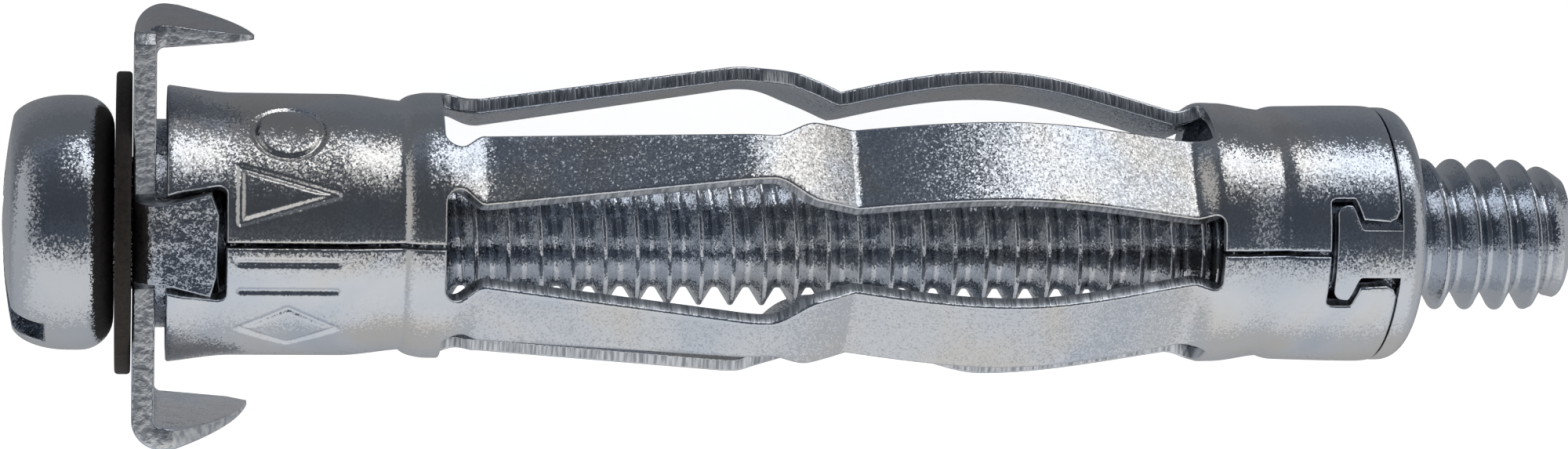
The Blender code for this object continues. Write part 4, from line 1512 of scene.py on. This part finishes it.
@dataclass
class Studio:
    """Pale floor, soft surroundings and the camera, which looks down on the anchor.

    The lit surroundings are long soft boxes, given by the angle in degrees about the screw's axis, from
    overhead: broad and bright at the front (-Y), dark overhead, and at the back (+Y) a narrow strip that
    stops short of the head. A dimmer box stands at each end, and the dark ones are bluish.
    """

    origin: Vector
    aim: float = 0.026585
    aim_above: float = 0.000155
    yaw: float = math.radians(8.5)
    lean: float = math.radians(9.5)
    camera_roll: float = math.radians(0.5)
    distance: float = 0.172
    lens: float = 98.3
    clip: Pair = (0.001, 10.0)
    floor_size: float = 3.0
    panels: tuple[Pair, ...] = (
        (-180, 0.60), (-95, 0.64), (-60, 0.74), (-30, 0.72), (-20, 0.50), (-12, 0.10), (20, 0.06),
        (50, 0.08), (75, 0.12), (90, 0.22), (110, 0.30), (140, 0.34), (180, 0.45),
    )
    strip: tuple[Pair, ...] = ((-180, 0.0), (46, 0.0), (60, 0.65), (72, 1.4), (84, 1.25), (94, 0.0))
    strip_range: Pair = (-0.02, 0.15)
    end_range: Pair = (0.52, 0.78)
    end_level: float = 0.5
    shade_below: float = 0.35
    shade_tint: tuple[float, float, float] = (0.88, 1.0, 1.2)
    brightest: float = 1.6

    def floor(self) -> Item:
        """Lay the paper under the anchor.

        Returns:
            The floor, marked as part of the stage.
        """
        bm = bmesh.new()
        bmesh.ops.create_grid(bm, x_segments=1, y_segments=1, size=self.floor_size / 2)
        floor = put_in_scene(bm, "floor")
        # The floor.
        floor.data.materials.append(FloorPaper().material())
        return floor

    def boxes(self, tree: Tree, share: Socket, levels: tuple[Pair, ...]) -> Socket:
        """Give the brightness of one row of soft boxes, as a share of the brightest.

        Args:
            tree: The world's tree.
            share: Angle about the screw's axis, from 0 to 1 for a whole turn from below.
            levels: Degrees and brightness, in order.

        Returns:
            The colour output of a ramp.
        """
        colour = add_node(tree, "ShaderNodeValToRGB", {"Fac": share})
        stops = colour.node.color_ramp.elements
        while len(stops) < len(levels):
            stops.new(0.5)
        # A ramp sorts its stops by place, so all the places come before the colours.
        for stop, (degrees, _) in zip(stops, levels):
            stop.position = (degrees + 180) / 360
        for stop, (_, level) in zip(stops, levels):
            tint = self.shade_tint if level < self.shade_below else (1.0, 1.0, 1.0)
            stop.color = (*(level * part / self.brightest for part in tint), 1.0)
        return colour

    def surroundings(self) -> bpy.types.World:
        """Light the scene with long soft panels, and show plain white behind it.

        Returns:
            The scene's world.
        """
        world = bpy.data.worlds.new("studio")
        world.use_nodes = True
        tree = world.node_tree
        tree.nodes.clear()
        towards = add_node(tree, "ShaderNodeTexCoord", out="Generated")
        parts = add_node(tree, "ShaderNodeSeparateXYZ", {"Vector": towards}).node.outputs
        angle = add_node(tree, "ShaderNodeMath", {0: parts["Y"], 1: parts["Z"]}, operation="ARCTAN2")
        turn = {"Value": angle, "From Min": -math.pi, "From Max": math.pi}
        share = add_node(tree, "ShaderNodeMapRange", turn)
        sideways = add_node(tree, "ShaderNodeMath", {0: parts["X"]}, operation="ABSOLUTE")
        shares = []
        for value, (low, high) in ((parts["X"], self.strip_range), (sideways, self.end_range)):
            spread = {"Value": value, "From Min": low, "From Max": high}
            shares.append(add_node(tree, "ShaderNodeMapRange", spread, interpolation_type="SMOOTHSTEP"))
        along, end_share = shares
        rows = {0: self.boxes(tree, share, self.strip), 1: along, 2: self.boxes(tree, share, self.panels)}
        both = add_node(tree, "ShaderNodeVectorMath", rows, operation="MULTIPLY_ADD")
        end_colour = (self.end_level / self.brightest,) * 3 + (1.0,)
        colours = {SHARE: end_share, FIRST: both, SECOND: end_colour}
        lit = add_node(tree, "ShaderNodeMix", colours, MIXED, data_type="RGBA")
        panels = add_node(tree, "ShaderNodeBackground", {"Color": lit, "Strength": self.brightest})
        white = add_node(tree, "ShaderNodeBackground", {"Color": (1, 1, 1, 1), "Strength": 1.0})
        seen = add_node(tree, "ShaderNodeLightPath", out="Is Camera Ray")
        mixed = add_node(tree, "ShaderNodeMixShader", {0: seen, 1: panels, 2: white})
        add_node(tree, "ShaderNodeOutputWorld", {"Surface": mixed})
        bpy.context.scene.world = world
        return world

    def camera(self) -> Item:
        """Set the camera above the anchor, a little to the head's side and to the back.

        Returns:
            The scene's camera.
        """
        facing = Vector((0, math.sin(self.lean), math.cos(self.lean)))
        along = Vector((1, 0, 0))
        forward = along * math.sin(self.yaw) - facing * math.cos(self.yaw)
        right = along * math.cos(self.yaw) + facing * math.sin(self.yaw)
        up = (-forward).cross(right)
        aim = self.origin + along * self.aim + up * self.aim_above
        turn = Matrix((right, up, -forward)).transposed().to_4x4()
        data = bpy.data.cameras.new("camera")
        data.lens = self.lens
        data.clip_start, data.clip_end = self.clip
        camera = bpy.data.objects.new("camera", data)
        bpy.context.scene.collection.objects.link(camera)
        spin = Matrix.Rotation(self.camera_roll, 4, "Z")
        camera.matrix_world = Matrix.Translation(aim - forward * self.distance) @ turn @ spin
        bpy.context.scene.camera = camera
        return camera


def finishes() -> dict[str, Material]:
    """Give each finish by what it covers; the flange's darker zinc is painted shade, and it is more dented by
    its press.

    Returns:
        The materials.
    """
    screw = ZincPlate(
        "zinc_plated_screw",
        silver="#D4D8DE",
        blue="#C9D0DA",
        straw="#D5D6D8",
        roughness=0.09,
        roughness_spread=0.06,
        dent_depth=0.00002,
    )
    # Painted shade: the flange's silver, blue and straw are a darker copy of the sheet's zinc.
    flange = ZincPlate(
        "zinc_plated_flange_painted_shade",
        silver="#C9CED7",
        blue="#B7C1CF",
        straw="#C8C6C6",
        roughness=0.13,
        crystal_tilt=0.24,
        dent_size=0.0008,
        dent_depth=0.00012,
    )
    blank_edge = ShearedEdge(
        "blanked_zinc_edge",
        silver="#FAFBFC",
        # Painted shade in the grooves of the blank edge's marks.
        painted_groove_shade="#C2C7CD",
        roughness=0.36,
        mark_spacing=0.0003,
        repeats=(1.0, 1.0, 1.0),
    )
    covers = {
        "sheet": ZincPlate("zinc_plated_sheet"),
        "screw": screw,
        "flange": flange,
        "edge": ShearedEdge(),
        "blank_edge": blank_edge,
        "fibre": PressedFibre(),
    }
    return {what: finish.material() for what, finish in covers.items()}


def main() -> None:
    """Build the anchor's pieces in order, then the studio."""
    logging.basicConfig(level=logging.INFO, format="%(name)s %(message)s")
    stack = Stack()
    washer_low, washer_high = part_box("washer")
    middle = (washer_low + washer_high) / 2
    origin = Vector((washer_low.x - stack.seat_gap, middle.y, middle.z))
    studio = Studio(origin)
    studio.camera()
    finish = finishes()
    Screw(stack, origin).build(finish["screw"])
    Washer(stack, origin).build(finish["fibre"])
    Flange(stack, origin).build(finish["flange"], finish["blank_edge"])
    Sleeve(stack, origin).build(finish["sheet"], finish["edge"])
    EndNut(stack, origin).build(finish["sheet"], finish["edge"])
    studio.floor()
    studio.surroundings()
    bpy.context.scene.view_settings.view_transform = "Standard"
    bpy.context.view_layer.update()


if __name__ == "__main__":
    main()
